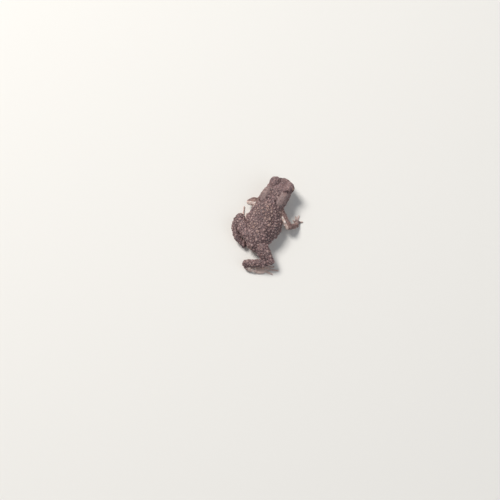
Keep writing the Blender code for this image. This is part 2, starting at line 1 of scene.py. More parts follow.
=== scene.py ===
"""The looks of a common toad at life size, caught in mid crawl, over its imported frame.

Shapes are worked out in millimetres in the toad's own frame (right, ahead, up) and set down in metres
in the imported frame, where the snout points to -Y and the floor is Z = 0.
"""

import math

import bpy
import numpy as np
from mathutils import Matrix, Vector


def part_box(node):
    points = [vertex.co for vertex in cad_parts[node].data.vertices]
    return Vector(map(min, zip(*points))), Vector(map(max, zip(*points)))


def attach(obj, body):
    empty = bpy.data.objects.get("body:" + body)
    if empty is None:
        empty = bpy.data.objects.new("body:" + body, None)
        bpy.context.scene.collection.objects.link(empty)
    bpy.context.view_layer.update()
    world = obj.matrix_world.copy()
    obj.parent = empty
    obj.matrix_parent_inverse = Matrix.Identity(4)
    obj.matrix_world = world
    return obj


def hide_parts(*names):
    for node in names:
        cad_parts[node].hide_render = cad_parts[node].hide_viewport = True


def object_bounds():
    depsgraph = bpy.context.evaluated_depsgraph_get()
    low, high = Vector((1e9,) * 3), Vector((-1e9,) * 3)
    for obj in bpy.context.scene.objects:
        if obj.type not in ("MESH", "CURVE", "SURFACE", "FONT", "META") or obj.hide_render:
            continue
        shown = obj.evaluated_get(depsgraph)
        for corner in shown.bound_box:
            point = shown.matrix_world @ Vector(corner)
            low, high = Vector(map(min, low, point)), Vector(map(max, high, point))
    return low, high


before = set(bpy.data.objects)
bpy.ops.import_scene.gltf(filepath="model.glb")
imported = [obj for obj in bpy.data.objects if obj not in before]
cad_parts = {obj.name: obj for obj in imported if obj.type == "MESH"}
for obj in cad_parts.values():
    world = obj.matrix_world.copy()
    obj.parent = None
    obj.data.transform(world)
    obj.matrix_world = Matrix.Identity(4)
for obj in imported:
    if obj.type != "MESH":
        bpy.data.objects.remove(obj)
cad_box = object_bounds()

MM = 0.001
SEED = 41

# Trunk and head, one body with its length S measured forward from the vent.
BODY_LENGTH = 59.2
VENT_AHEAD = -20.5  # where the vent lies in the toad's frame
REAR_ROUNDING = 4.5  # length over which the rump closes
SNOUT_ROUNDING = 4.2  # length over which the snout closes
WIDEST_LEVEL = [(0.0, 0.42), (45.0, 0.42), (59.2, 0.56)]  # S, the widest line's height as a share
BACK_POWERS = (0.92, 0.90)  # of cosine and sine round the upper half: under 1 it is squarer than an oval
BELLY_POWERS = (0.84, 0.78)
SPINE = [(0.0, 1.3), (22.5, 0.6), (36.5, 0.5), (47.8, 2.8), (52.2, 3.7), (59.2, 5.0)]  # S, right
SECTION_TURN = 0.4  # share of the spine's bend by which the sections turn with it
SECTIONS = [  # S, half width, back, belly
    (0.0, 5.9, 11.2, 3.4),
    (6.0, 7.4, 14.2, 1.4),
    (11.0, 9.1, 15.9, 0.5),
    (17.0, 12.3, 17.2, -0.3),
    (22.5, 13.2, 18.0, -0.5),
    (28.5, 11.8, 18.1, 0.1),
    (35.0, 9.9, 17.2, 1.8),
    (41.0, 9.7, 16.6, 3.2),
    (48.0, 9.3, 15.8, 4.2),
    (53.0, 7.6, 14.6, 4.9),
    (56.4, 5.2, 13.0, 5.6),
    (59.2, 3.8, 12.2, 6.2),
]
TRUNK_UNDER_SKIN = 0.45  # how far the trunk and limbs stay in, so that the warts reach the solids' size
TRUNK_SINKS = (-0.2, 0.9)  # sines of the angle round a section between which that depth grows from nothing
LIMBS_UNDER_SKIN = 0.6  # the limbs' share of that depth
TRUNK_GRID = (150, 120)  # rings and sides
TRUNK_END = 0.6  # length at each end where the rings stand closer
SIDE_ANGLE = 1.45  # radians up and down round a section between which a height on its side is sought
SIDE_STEPS = 400
TUBE_SPACING = 0.35  # between a tube's rings

# Head forms, each for the right side: S, lateral, up, then half sizes across, along and high.
EYE = (52.6, 6.5, 13.1)
EYE_RADIUS = 2.7
UPPER_LID = (52.4, 5.4, 14.2), (3.0, 4.0, 2.4)
LOWER_LID = (52.5, 6.8, 11.2), (2.3, 3.9, 1.6)
LID_YAW = -14.0  # degrees, the lids follow the head as it narrows forward
BROW_RIDGE = (55.1, 3.9, 12.5), (1.1, 3.1, 0.9)
BROW_YAW = -24.0
BROW_PITCH = 25.0  # degrees, the ridge falls forward with the snout
PAROTOID = (41.4, 6.4, 14.2), (3.5, 6.4, 2.1)
PAROTOID_YAW = 3.0  # degrees, the two glands draw apart a little towards the front
PAROTOID_ROLL = 28.0  # degrees, each gland leans out with the side of the neck
EARDRUM = (47.6, 8.9, 9.8), (0.55, 1.15, 1.15)
NOSTRIL = (57.3, 1.8, 10.8), (0.9, 0.95, 0.75)
NOSTRIL_HOLE_OFFSET = (0.3, 0.55, 0.35)  # S, lateral, up from the rim's middle
NOSTRIL_RADIUS = 0.5
NOSTRIL_SMOOTH = 1.0  # distance from a nostril's middle over which the skin is free of warts
NOSTRIL_DEPTH = 0.75
NOSTRIL_RIM_REACH = 1.7  # of the nostril's radius, where its rim stands highest
NOSTRIL_RIM_WIDTH = 0.25
NOSTRIL_RIM_HEIGHT = 0.12
MOUTH_LINE = [(46.6, 6.5), (49.5, 7.3), (53.6, 7.5), (56.8, 7.6), (59.2, 7.9)]  # S, up
LIP_RADIUS = 0.7
LIP_SUNK = 0.35  # how deep a lip's middle lies under the skin
LIP_SPREAD = 0.8  # height of each lip's middle from the mouth line
LIP_STOPS = 14
LIP_TAPER = (0, 0.04, 0.12, 0.88, 0.96, 1), (0.45, 0.8, 1, 1, 0.8, 0.45)  # shares round, shares of the radius
LIPS_SMOOTH = 0.92  # share of the warts' height taken off at the mouth
LIPS_WIDTH = 1.5  # distance from the mouth over which that fades
MOUTH_STOPS = 40
MOUTH_STEPS = 800
# The mouth's groove; its width is also that of the painted shade along it.
MOUTH_DEPTH = 0.6
MOUTH_WIDTH = 0.3

# The eye's opening, in degrees: where it looks, and how far the lids' edge is from that direction.
GAZE_AHEAD = 22.0
GAZE_UP = 12.0
OPENING_ALONG = 60.0
OPENING_ABOVE = 27.0
OPENING_BELOW = 32.0
LID_REACH = 50.0  # degrees that the lid's skin runs back over the eye
LID_THICKNESS = 0.6
SOCKET_ROOM = 0.12  # left between the eye and its lids
PUPIL = (1.12, 0.62)  # half length and half height of the pupil
IRIS_RADIUS = 2.15
CORNEA = 0.12  # how far the clear front stands out from the eyeball

# Legs: the middle line's points (right, ahead, up) with the radius there.
LIMBS = {
    "upper_arm_right": [((8.2, 13.6, 8.6), 3.5), ((13.0, 10.0, 8.6), 3.0), ((18.0, 5.2, 7.4), 2.5)],
    "forearm_right": [((18.0, 5.2, 7.4), 2.5), ((20.7, 7.2, 4.9), 2.4), ((22.9, 10.0, 2.1), 1.6)],
    "upper_arm_left": [((-7.4, 13.8, 8.6), 3.4), ((-11.0, 13.9, 7.9), 2.9), ((-14.5, 13.7, 6.4), 2.4)],
    "forearm_left": [((-14.5, 13.7, 6.4), 2.4), ((-12.4, 16.6, 4.4), 2.3), ((-9.4, 19.2, 2.1), 1.6)],
    "thigh_right": [((3.0, -13.2, 8.6), 4.8), ((7.8, -18.6, 8.4), 5.1), ((14.0, -23.1, 7.2), 3.4)],
    "shank_right": [((14.0, -23.1, 7.2), 3.3), ((6.6, -27.2, 5.8), 3.2), ((-1.9, -29.5, 4.0), 2.5)],
    "thigh_left": [
        ((-2.0, -13.0, 8.6), 4.8),
        ((-7.6, -10.2, 8.8), 4.8),
        ((-12.6, -5.4, 8.8), 4.1),
        ((-16.6, 0.2, 8.0), 3.3),
    ],
    "shank_left": [
        ((-16.6, 0.2, 8.0), 3.3),
        ((-18.0, -6.0, 6.8), 2.9),
        ((-14.6, -12.9, 5.4), 2.7),
        ((-7.6, -17.6, 3.9), 2.1),
    ],
}
# Hands and feet: the root's points as above, the sole's middle and half sizes, and each toe's tip.
EXTREMITIES = {
    "hand_right": (
        [((22.9, 10.0, 2.1), 1.6), ((22.7, 11.9, 1.1), 1.5)],
        ((22.7, 12.2, 0.9), (2.1, 2.3, 1.1), 0.0),
        [(19.5, 13.0), (20.3, 16.2), (22.3, 17.7), (26.0, 14.2)],
    ),
    "hand_left": (
        [((-9.4, 19.2, 2.1), 1.6), ((-7.9, 20.4, 1.1), 1.5)],
        ((-7.6, 20.6, 0.9), (2.1, 2.3, 1.1), -50.0),
        [(-3.8, 18.6), (-2.4, 21.4), (-3.3, 24.2), (-7.3, 24.6)],
    ),
    "foot_right": (
        [((-1.9, -29.5, 3.7), 2.4), ((0.6, -31.6, 2.4), 2.1), ((5.2, -31.6, 1.5), 2.0)],
        ((9.4, -30.2, 0.9), (2.6, 5.2, 1.2), 70.0),
        [(10.6, -26.0), (14.0, -24.6), (17.8, -24.4), (21.6, -26.0), (18.6, -29.9)],
    ),
    "foot_left": (
        [((-7.6, -17.6, 3.6), 2.0), ((-9.2, -13.0, 2.1), 1.6), ((-10.6, -8.4, 1.2), 1.6)],
        ((-11.5, -6.0, 0.7), (2.9, 4.0, 1.0), -16.0),
        [(-8.9, -2.9), (-11.2, 1.8), (-14.2, 6.2), (-17.6, 10.6), (-18.6, 2.6)],
    ),
}
TOE_STOPS = [  # share of the toe's length, bow sideways as a share of it, radius, height of the middle line
    (0.0, 0.0, 1.0, 0.8),
    (0.4, 0.05, 0.72, 0.65),
    (0.8, 0.02, 0.58, 0.44),
    (1.0, 0.0, 0.56, 0.40),
]
TOE_KNUCKLE = 0.09  # share of the radius by which a toe swells at its joints
TOE_JOINTS = 3
TOE_FIRST_JOINT = 0.05  # share of the toe's length
WEB_SHARES = (0.1, 0.42)  # shares of the hind toes' length between which the web fills the room between two
WEB_DRAWN_IN = 0.35  # share by which a web's edge is shorter midway than along the toes
WEB_HALF_WIDTH = 0.46  # of the room between two toes' middle lines
WEB_LEVEL = 0.45
WEB_HALF_THICKNESS = 0.3

BELLY_EDGE = [(0.0, 5.0), (40.0, 4.6), (47.0, 5.8), (60.0, 7.4)]  # S, height up to which the belly is pale
# Where each arm's pale side faces.
ARM_INSIDE = {"right": (-0.87, -0.48, -0.05), "left": (-0.05, -0.99, 0.0)}
# The pale warts down each flank: right, ahead.
FLANK_ROW = [(5.0, 12.1), (8.2, 6.3), (9.3, 0.3), (9.0, -5.4)]
FLANK_ROW_WARTS = 10
FLANK_ROW_RADIUS = 0.95
FLANK_ABOVE = 8.0  # height over which the row lies
FAR = 100.0  # added to the distance of points that are too low for it
HAND_PALE = 0.45  # how pale the back of a hand is beside its fingers
FINGERS_FROM = (1.8, 4.2)  # distances from a hand's middle over which the skin turns pale
HEEL_PALE = 0.7  # the same of a foot's root
HEEL_FROM = (0.3, 0.6)  # shares of the root's length over which the skin turns pale
HEEL_SMOOTH = 0.6  # how far the pale heel is free of warts
FURROW_REACH = 1.1  # of a gland's half sizes, where the furrow round it lies
FURROW_WIDTH = 0.09
FURROW_DEPTH = 0.3
FURROW_SHADE = 0.6  # how dark the furrow's painted shade is, with the mouth's as 1
FURROW_BREAKS = (0.6, 0.7, 5.0)  # its mean share of the depth, how far that varies, over about what length
TAN_PATCH = (27.0, 8.0, 7.0)  # S, half length and half width of the tan middle of the back
TAN_UNEVENNESS = (0.3, 9.0)  # how far it varies, over about what length

# Where the skin's regions end. A pair is what a region fades between, unless its comment says otherwise.
TOE_EDGE = (1.1, 2.4)  # millimetres from the toe's line
TOE_LEVELS = (0.6, 0.5)  # heights of that line at its root and tip
SOLE_EDGE = (0.95, 1.35)  # of the sole's half sizes
SOLE_HEIGHT = 2.5
HEEL_EDGE = (1.1, 1.35)  # of the root's radius
LIMB_EDGE = (1.08, 1.3)  # of the limb's radius
INNER_ARM_EDGE = (-0.35, 0.5)  # cosine of the normal with the pale side's direction
GLAND_EDGE = (0.8, 1.08)  # of the gland's half sizes
GLAND_WIDER = 1.05  # of its half width, how wide the gland counts as
EYE_EDGE = (3.4, 4.4)  # millimetres from the eye's middle
HEAD_EDGE = (42.0, 49.0)  # S
BELLY_FADE = (-0.5, 1.5)  # millimetres over the belly's edge
TRUNK_UNDER = (-0.7, -0.1)  # the normal's upward part
LIMB_UNDER = (-0.6, -0.05)

# Fineness: the voxel of the even skin and the most triangles it keeps.
VOXEL = 0.2
SKIN_TRIANGLES = 190000
SMOOTH_SHARE = 0.5
SMOOTH_TURNS = 14
TOES_KEPT = 0.95  # how much less the toes are smoothed
LID_TURNS = 6  # turns of smoothing once the lids are on
LID_BACK = 0.52  # share of the way that each of those turns goes back

# Warts: how many are tried, their least and largest radius, their height as a share of it, and the least
# distance between two warts' middles as a share of the two radii's sum.
WARTS = [
    (170, 0.90, 1.50, 0.52, 1.12),
    (560, 0.50, 0.85, 0.48, 1.0),
    (2900, 0.26, 0.48, 0.44, 0.93),
]
# How likely each of these sizes is on limbs, on the head and on the underside, with the back as 1.
WART_CHANCES = [(0.35, 0.0, 0.0), (0.8, 0.22, 0.02), (1.0, 0.6, 0.25)]
LEAST_CHANCE = 1e-9
GLAND_BARE = 0.97  # how much less likely warts are on the glands
EYE_BARE = 0.9  # the same round the eyes
WART_TRIES = 12
WART_SKEW = 1.5  # power on the draw of a size: above 1 there are more small warts than large ones
WART_DOME = 1.25  # power of a wart's rounding
WART_UNEVENNESS = 0.19  # how far a wart's outline strays from a circle
OUTLINE_LENGTH = 1.7  # about the length over which it does
BENT_REACH = 3  # times the unevenness, how far outside a wart its points are looked for
TOES_SMOOTH = 0.9  # share of the warts' height taken off on toes and soles
TONE_DRIFT = 0.3  # how much paler or darker the warts of one place may be than those of another
TONE_LENGTH = 6.0  # about how far apart such places are
WAVES = 18
FOLDS = (0.16, 7.0)  # height and about the length of the loose skin's folds
CREASES = (0.05, 1.6)  # the same of its creases
FOLDS_ON_GLAND = 0.5  # how much lower the folds are on a gland


def cubic(at, knots, values):
    """The smooth curve through the values at the knots, with each slope taken from the two neighbours."""
    at, knots, values = (np.asarray(x, dtype=float) for x in (at, knots, values))
    slopes = np.gradient(values, knots, axis=0)
    i = np.clip(np.searchsorted(knots, at) - 1, 0, len(knots) - 2)
    span = knots[i + 1] - knots[i]
    x = (at - knots[i]) / span
    if values.ndim > 1:
        x, span = x[..., None], span[..., None]
    start = values[i] * (1 + 2 * x) * (1 - x) ** 2 + slopes[i] * span * x * (1 - x) ** 2
    end = values[i + 1] * (3 - 2 * x) * x**2 - slopes[i + 1] * span * (1 - x) * x**2
    return start + end


def step(low, high, x):
    """0 below low, 1 above high and a smooth rise between."""
    t = np.clip((x - low) / (high - low), 0, 1)
    return t * t * (3 - 2 * t)


def unit(vectors):
    """The vectors at length 1."""
    return vectors / np.linalg.norm(vectors, axis=-1, keepdims=True)


def bell(x, width):
    """1 where x is 0, falling off on both sides as exp(-(x / width)^2)."""
    return np.exp(-((x / width) ** 2))


def round_angles(count):
    """Angles spaced evenly once round."""
    return np.linspace(0, 2 * np.pi, count, endpoint=False)


def trunk_point(s, lateral, up):
    """Turns a length along the body, a distance to its right and a height into the toad's frame."""
    knots, right = zip(*SPINE)
    middle = cubic(s, knots, right)
    slope = cubic(np.add(s, 0.5), knots, right) - cubic(np.add(s, -0.5), knots, right)
    turn = SECTION_TURN * np.arctan(slope)
    ahead = np.add(s, VENT_AHEAD)
    parts = (middle + lateral * np.cos(turn), ahead - lateral * np.sin(turn), up)
    return np.stack(np.broadcast_arrays(*parts), axis=-1)


def trunk_section(s, angle, grow=0.0):
    """Lateral place and height of the skin at S, for an angle round the section from its right side.

    Each section is two half ovals, the belly's squarer than the back's, that shrink towards both ends.
    """
    knots, half, back, belly = (np.array(column) for column in zip(*SECTIONS))
    half, back, belly = (cubic(s, knots, column) for column in (half, back, belly))
    middle = belly + cubic(s, *zip(*WIDEST_LEVEL)) * (back - belly)
    into_rear = np.clip(1 - np.asarray(s) / REAR_ROUNDING, 0, 1)
    into_snout = np.clip(1 - (BODY_LENGTH - np.asarray(s)) / SNOUT_ROUNDING, 0, 1)
    closing = np.sqrt(np.clip(1 - into_rear**2, 0, 1) * np.clip(1 - into_snout**2, 0, 1))
    c, d = np.cos(angle), np.sin(angle)
    upper = d >= 0
    across = np.sign(c) * np.abs(c) ** np.where(upper, BACK_POWERS[0], BELLY_POWERS[0])
    rise = np.sign(d) * np.abs(d) ** np.where(upper, BACK_POWERS[1], BELLY_POWERS[1])
    height = np.where(upper, back - middle, middle - belly)
    return (half * closing + grow) * across, middle + (height * closing + grow) * rise


def trunk_side_at(s, up, side, sunk=0.0):
    """The point at a height on the trunk's right (side 1) or left (side -1) skin, or sunk under it."""
    angles = np.linspace(-SIDE_ANGLE, SIDE_ANGLE, SIDE_STEPS)
    lateral, height = trunk_section(s, angles, -sunk)
    return trunk_point(s, side * np.interp(up, height, lateral), up)


def outward(points, triangles):
    """The shell with its triangles turned outwards, known from the sign of its volume."""
    a, b, c = (points[triangles[:, i]] for i in range(3))
    volume = np.einsum("ij,ij->i", a, np.cross(b, c)).sum()
    return points, triangles if volume > 0 else triangles[:, ::-1]


def capped_grid(rows, start, end):
    """A closed shell from rings of points, each end closed by a fan to its middle point."""
    count, sides = rows.shape[:2]
    i, j = np.meshgrid(np.arange(count - 1), np.arange(sides), indexing="ij")
    a, b = (i * sides + j).ravel(), (i * sides + (j + 1) % sides).ravel()
    ring = np.arange(sides)
    following = (ring + 1) % sides
    last = (count - 1) * sides
    first_tip, last_tip = np.full(sides, count * sides), np.full(sides, count * sides + 1)
    triangles = np.concatenate(
        [
            np.stack([a, b, b + sides], axis=1),
            np.stack([a, b + sides, a + sides], axis=1),
            np.stack([following, ring, first_tip], axis=1),
            np.stack([last + ring, last + following, last_tip], axis=1),
        ]
    )
    points = np.concatenate([rows.reshape(-1, 3), np.atleast_2d(start), np.atleast_2d(end)])
    return outward(points, triangles)


def ring_grid(rows):
    """A closed shell from a grid of points that runs round in both directions."""
    count, sides = rows.shape[:2]
    i, j = np.meshgrid(np.arange(count), np.arange(sides), indexing="ij")
    a = (i * sides + j).ravel()
    b = (i * sides + (j + 1) % sides).ravel()
    c = ((i + 1) % count * sides + (j + 1) % sides).ravel()
    d = ((i + 1) % count * sides + j).ravel()
    triangles = np.concatenate([np.stack([a, b, c], axis=1), np.stack([a, c, d], axis=1)])
    return outward(rows.reshape(-1, 3), triangles)


def joined(shells):
    """One set of points and triangles from several shells."""
    starts = np.cumsum([0] + [len(points) for points, _ in shells[:-1]])
    points = np.concatenate([points for points, _ in shells])
    triangles = np.concatenate([triangles + start for start, (_, triangles) in zip(starts, shells)])
    return points, triangles


def trunk():
    """Trunk and head: oval sections set along the spine, with closer rings where both ends round off."""
    rings, sides = TRUNK_GRID
    even = np.linspace(TRUNK_END, BODY_LENGTH - TRUNK_END, rings)
    rear = TRUNK_END * np.linspace(0.05, 1, 8, endpoint=False) ** 2
    along = np.concatenate([rear, even, BODY_LENGTH - rear[::-1]])
    s, angle = np.meshgrid(along, round_angles(sides), indexing="ij")
    lateral, up = trunk_section(s, angle, -TRUNK_UNDER_SKIN * step(*TRUNK_SINKS, np.sin(angle)))
    rows = trunk_point(s, lateral, up)
    return capped_grid(rows, rows[0].mean(axis=0), rows[-1].mean(axis=0))


def ellipsoid(centre, axes, rings=28, sides=40):
    """The centre plus cosine and sine parts of three half axes, for a lift from the top and a turn."""
    across, along, high = (np.asarray(axis, dtype=float) for axis in axes)
    lift, turn = np.meshgrid(np.linspace(0, np.pi, rings + 1)[1:-1], round_angles(sides), indexing="ij")
    wide = np.sin(lift)[..., None]
    rows = (
        np.asarray(centre)
        + wide * np.cos(turn)[..., None] * across
        + wide * np.sin(turn)[..., None] * along
        + np.cos(lift)[..., None] * high
    )
    return capped_grid(rows, centre + high, centre - high)


def head_axes(s):
    """The head's own ahead and right directions at S, both level."""
    ahead = unit(trunk_point(s + 0.5, 0, 0) - trunk_point(s - 0.5, 0, 0))
    return ahead, np.array((ahead[1], -ahead[0], 0.0))


def head_form(place, half_sizes, side, yaw=0.0, roll=0.0, pitch=0.0):
    """An ellipsoid set on the head: S, lateral and up of its middle.

    It is turned by yaw, leans out by roll and falls forward by pitch, in degrees.
    """
    s, lateral, up = place
    centre = trunk_point(s, side * lateral, up)
    ahead, right = head_axes(s)
    spin, lean = math.radians(yaw * side), math.radians(roll * side)
    along = ahead * math.cos(spin) + right * math.sin(spin)
    level = right * math.cos(spin) - ahead * math.sin(spin)
    above = np.array((0.0, 0.0, 1.0))
    across = level * math.cos(lean) - above * math.sin(lean)
    high = above * math.cos(lean) + level * math.sin(lean)
    c, d = math.cos(math.radians(pitch)), math.sin(math.radians(pitch))
    along, high = along * c - high * d, high * c + along * d
    wide, long, tall = half_sizes
    return ellipsoid(centre, (across * wide, along * long, high * tall))


def tube(path, sides=40, swell=None, under=0.0):
    """A round-ended tube: circles carried along the smooth curve through the path's points.

    The radius follows the path's radii less the depth under the skin, times one plus the swell at each
    share of the length.
    """
    places = np.array([point for point, _ in path])
    radii = np.array([radius for _, radius in path]) - under
    knots = np.concatenate([[0], np.cumsum(np.linalg.norm(np.diff(places, axis=0), axis=1))])
    at = np.linspace(0, knots[-1], int(knots[-1] / TUBE_SPACING) + 3)
    middle, radius = cubic(at, knots, places), cubic(at, knots, radii)
    if swell is not None:
        radius = radius * (1 + swell(at / knots[-1]))
    ahead = unit(np.gradient(middle, axis=0))
    side = unit(np.cross(ahead, (0.0, 0.0, 1.0)))
    above = np.cross(side, ahead)
    lifts = np.linspace(0, np.pi / 2, 8)[1:-1]
    start = [middle[0] - ahead[0] * radius[0] * math.sin(lift) for lift in lifts[::-1]]
    end = [middle[-1] + ahead[-1] * radius[-1] * math.sin(lift) for lift in lifts]
    count = len(lifts)
    middle = np.concatenate([start, middle, end])
    side = np.concatenate([np.repeat(side[:1], count, 0), side, np.repeat(side[-1:], count, 0)])
    above = np.concatenate([np.repeat(above[:1], count, 0), above, np.repeat(above[-1:], count, 0)])
    first, last = radius[0], radius[-1]
    radius = np.concatenate([first * np.cos(lifts[::-1]), radius, last * np.cos(lifts)])
    turn = round_angles(sides)[:, None]
    circle = np.cos(turn) * side[:, None] + np.sin(turn) * above[:, None]
    rows = middle[:, None] + radius[:, None, None] * circle
    return capped_grid(rows, middle[count] - ahead[0] * first, middle[-count - 1] + ahead[-1] * last)


def mouth_round(level, sunk, stops):
    """Points round the snout at the mouth's height plus level, from the left corner to the right one.

    They stand closer together towards the front, where that height leaves the skin under the snout's tip.
    """
    lengths, heights = zip(*MOUTH_LINE)
    fine = np.linspace(lengths[0], BODY_LENGTH, MOUTH_STEPS)
    lowest = trunk_section(fine, -math.pi / 2, -sunk)[1]
    front = fine[lowest < cubic(fine, lengths, heights) + level].max()
    along = front - (front - lengths[0]) * np.linspace(1, 0, stops) ** 2
    up = cubic(along, lengths, heights) + level
    left, right = ([trunk_side_at(*stop, side, sunk) for stop in zip(along, up)] for side in (-1, 1))
    return left[:-1] + [(left[-1] + right[-1]) / 2] + right[-2::-1]


def lip(level):
    """A tube round the snout just over or under the mouth, thinning towards both corners."""
    points = mouth_round(level, LIP_SUNK, LIP_STOPS)
    shares = np.linspace(0, 1, len(points))
    taper = np.interp(shares, *LIP_TAPER)
    return tube([(tuple(point), LIP_RADIUS * share) for point, share in zip(points, taper)], sides=20)


def eye_axes(side):
    """Where the eye looks, and its own directions ahead and up."""
    ahead, right = head_axes(EYE[0])
    turn, lift = math.radians(GAZE_AHEAD), math.radians(GAZE_UP)
    level = side * right * math.cos(turn) + ahead * math.sin(turn)
    gaze = unit(level * math.cos(lift) + np.array((0.0, 0.0, math.sin(lift))))
    above = unit(np.array((0.0, 0.0, 1.0)) - gaze[2] * gaze)
    along = np.cross(above, gaze) * side
    return gaze, along, above


def eye_centre(side):
    """The middle of the right eye (side 1) or the left one (side -1)."""
    return trunk_point(EYE[0], side * EYE[1], EYE[2])


def lid_ring(side):
    """The two lids' margin: a flat oval profile bent over the eye, carried round its almond opening.

    At a turn t round the opening the margin lies at the angle (along cos t, above or below sin t) from
    the gaze, and the profile runs back from there by the lids' reach, as thick as the lids.
    """
    gaze, along, above = eye_axes(side)
    t, q = np.meshgrid(round_angles(120), round_angles(28), indexing="ij")
    reach_along = math.radians(OPENING_ALONG) * np.cos(t)
    half_height = np.where(np.sin(t) > 0, math.radians(OPENING_ABOVE), math.radians(OPENING_BELOW))
    reach_above = half_height * np.sin(t)
    opening = np.hypot(reach_along, reach_above)
    turn = np.arctan2(reach_above, reach_along)
    polar = opening + math.radians(LID_REACH) / 2 * (1 + np.cos(q))
    thick = LID_THICKNESS / 2
    radius = EYE_RADIUS + SOCKET_ROOM + thick + thick * np.sin(q)
    sideways = np.cos(turn)[..., None] * along + np.sin(turn)[..., None] * above
    direction = np.cos(polar)[..., None] * gaze + np.sin(polar)[..., None] * sideways
    return ring_grid(eye_centre(side) + radius[..., None] * direction)


def toe(root, tip):
    """A toe's tube, arched a little between the sole and its rounded tip, and swollen at its joints."""
    reach = np.subtract(tip, root)
    sideways = np.array((-reach[1], reach[0]))
    path = []
    for share, bow, radius, up in TOE_STOPS:
        right, ahead = root + reach * share + sideways * bow
        path.append(((right, ahead, up), radius))
    turns = 2 * np.pi * TOE_JOINTS
    return tube(path, sides=20, swell=lambda x: TOE_KNUCKLE * np.cos(turns * (x - TOE_FIRST_JOINT)))


def web(root, tip, other_tip):
    """The skin between two toes: level lines from one to the other under a thin oval edge.

    A point lies a share along both toes, blended by how far it is across, and the share shrinks midway.
    """
    along, turn = np.meshgrid(np.linspace(0, 1, 24), round_angles(36), indexing="ij")
    across = 0.5 + WEB_HALF_WIDTH * np.cos(turn)
    inner, outer = WEB_SHARES
    share = inner + (outer - inner) * along * (1 - WEB_DRAWN_IN * np.sin(np.pi * across))
    near_side, far_side = (share * (1 - across))[..., None], (share * across)[..., None]
    place = root + near_side * np.subtract(tip, root) + far_side * np.subtract(other_tip, root)
    height = WEB_LEVEL + WEB_HALF_THICKNESS * np.sin(turn)
    rows = np.concatenate([place, height[..., None]], axis=-1)
    return capped_grid(rows, rows[0].mean(axis=0), rows[-1].mean(axis=0))


def extremity(name):
    """Shells of a hand or foot: its root, its sole, its toes and, on a foot, the webs."""
    root, (middle, half_sizes, yaw), tips = EXTREMITIES[name]
    spin = math.radians(yaw)
    ahead = np.array((math.sin(spin), math.cos(spin), 0.0))
    right = np.array((math.cos(spin), -math.sin(spin), 0.0))
    wide, long, tall = half_sizes
    shells = [tube(root), ellipsoid(np.array(middle), (right * wide, ahead * long, (0.0, 0.0, tall)))]
    shells += [toe(middle[:2], tip) for tip in tips]
    if name.startswith("foot"):
        shells += [web(middle[:2], tip, other) for tip, other in zip(tips, tips[1:])]
    return shells


def added(name, data):
    """A new object in the scene."""
    obj = bpy.data.objects.new(name, data)
    bpy.context.scene.collection.objects.link(obj)
    return obj


def mark(obj, **marks):
    """Keeps a number for each point under each name, for the materials to read."""
    for name, values in marks.items():
        obj.data.attributes.new(name, "FLOAT", "POINT").data.foreach_set("value", values.astype(np.float32))


def mesh_object(name, points, triangles):
    """A mesh object from arrays, in whatever unit the points have."""
    mesh = bpy.data.meshes.new(name)
    mesh.vertices.add(len(points))
    mesh.vertices.foreach_set("co", np.asarray(points, dtype=np.float32).ravel())
    mesh.loops.add(3 * len(triangles))
    mesh.loops.foreach_set("vertex_index", np.asarray(triangles, dtype=np.int32).ravel())
    mesh.polygons.add(len(triangles))
    mesh.polygons.foreach_set("loop_start", np.arange(0, 3 * len(triangles), 3, dtype=np.int32))
    mesh.update(calc_edges=True)
    mesh.validate()
    return added(name, mesh)


def arrays(mesh):
    """A mesh's points, triangles and edges as arrays."""
    points = np.empty(3 * len(mesh.vertices), dtype=np.float32)
    mesh.vertices.foreach_get("co", points)
    mesh.calc_loop_triangles()
    triangles = np.empty(3 * len(mesh.loop_triangles), dtype=np.int32)
    mesh.loop_triangles.foreach_get("vertices", triangles)
    edges = np.empty(2 * len(mesh.edges), dtype=np.int32)
    mesh.edges.foreach_get("vertices", edges)
    return points.reshape(-1, 3).astype(float), triangles.reshape(-1, 3), edges.reshape(-1, 2)


def applied(obj):
    """The object's mesh with its modifiers applied; the object itself is removed."""
    graph = bpy.context.evaluated_depsgraph_get()
    mesh = bpy.data.meshes.new_from_object(obj.evaluated_get(graph))
    bpy.data.objects.remove(obj)
    return mesh


def even_skin(shells):
    """The outside of all shells as one even closed surface: a voxel remesh."""
    obj = mesh_object("even skin", *joined(shells))
    remesh = obj.modifiers.new("even skin", "REMESH")
    remesh.mode = "VOXEL"
    remesh.voxel_size = VOXEL
    return arrays(applied(obj))


def carved(points, triangles, balls):
    """The skin less the balls that the eyes sit in: a Boolean on closed surfaces."""
    obj = mesh_object("skin", points, triangles)
    sockets = mesh_object("sockets", *joined(balls))
    cut = obj.modifiers.new("sockets", "BOOLEAN")
    cut.operation = "DIFFERENCE"
    cut.solver = "MANIFOLD"
    cut.object = sockets
    mesh = applied(obj)
    bpy.data.objects.remove(sockets)
    return arrays(mesh)


def neighbour_mean(points, edges):
    """The mean of each point's neighbours."""
    count = np.bincount(edges.ravel(), minlength=len(points))[:, None]
    total = np.stack(
        [
            np.bincount(edges[:, 0], points[edges[:, 1], axis], len(points))
            + np.bincount(edges[:, 1], points[edges[:, 0], axis], len(points))
            for axis in range(3)
        ],
        axis=1,
    )
    return total / np.maximum(count, 1)


def smoothed(points, edges, share, turns, back=0.0):
    """Each point moved a share of the way to its neighbours' mean, then back by a share, turn by turn."""
    for _ in range(turns):
        points = points + np.asarray(share)[..., None] * (neighbour_mean(points, edges) - points)
        if back:
            points = points - back * (neighbour_mean(points, edges) - points)
    return points


def normals_of(points, triangles):
    """Each point's normal, the mean of its triangles' normals weighed by their areas."""
    a, b, c = (points[triangles[:, i]] for i in range(3))
    face = np.cross(b - a, c - a)
    total = np.zeros_like(points)
    for corner in range(3):
        for axis in range(3):
            total[:, axis] += np.bincount(triangles[:, corner], face[:, axis], len(points))
    return unit(total)


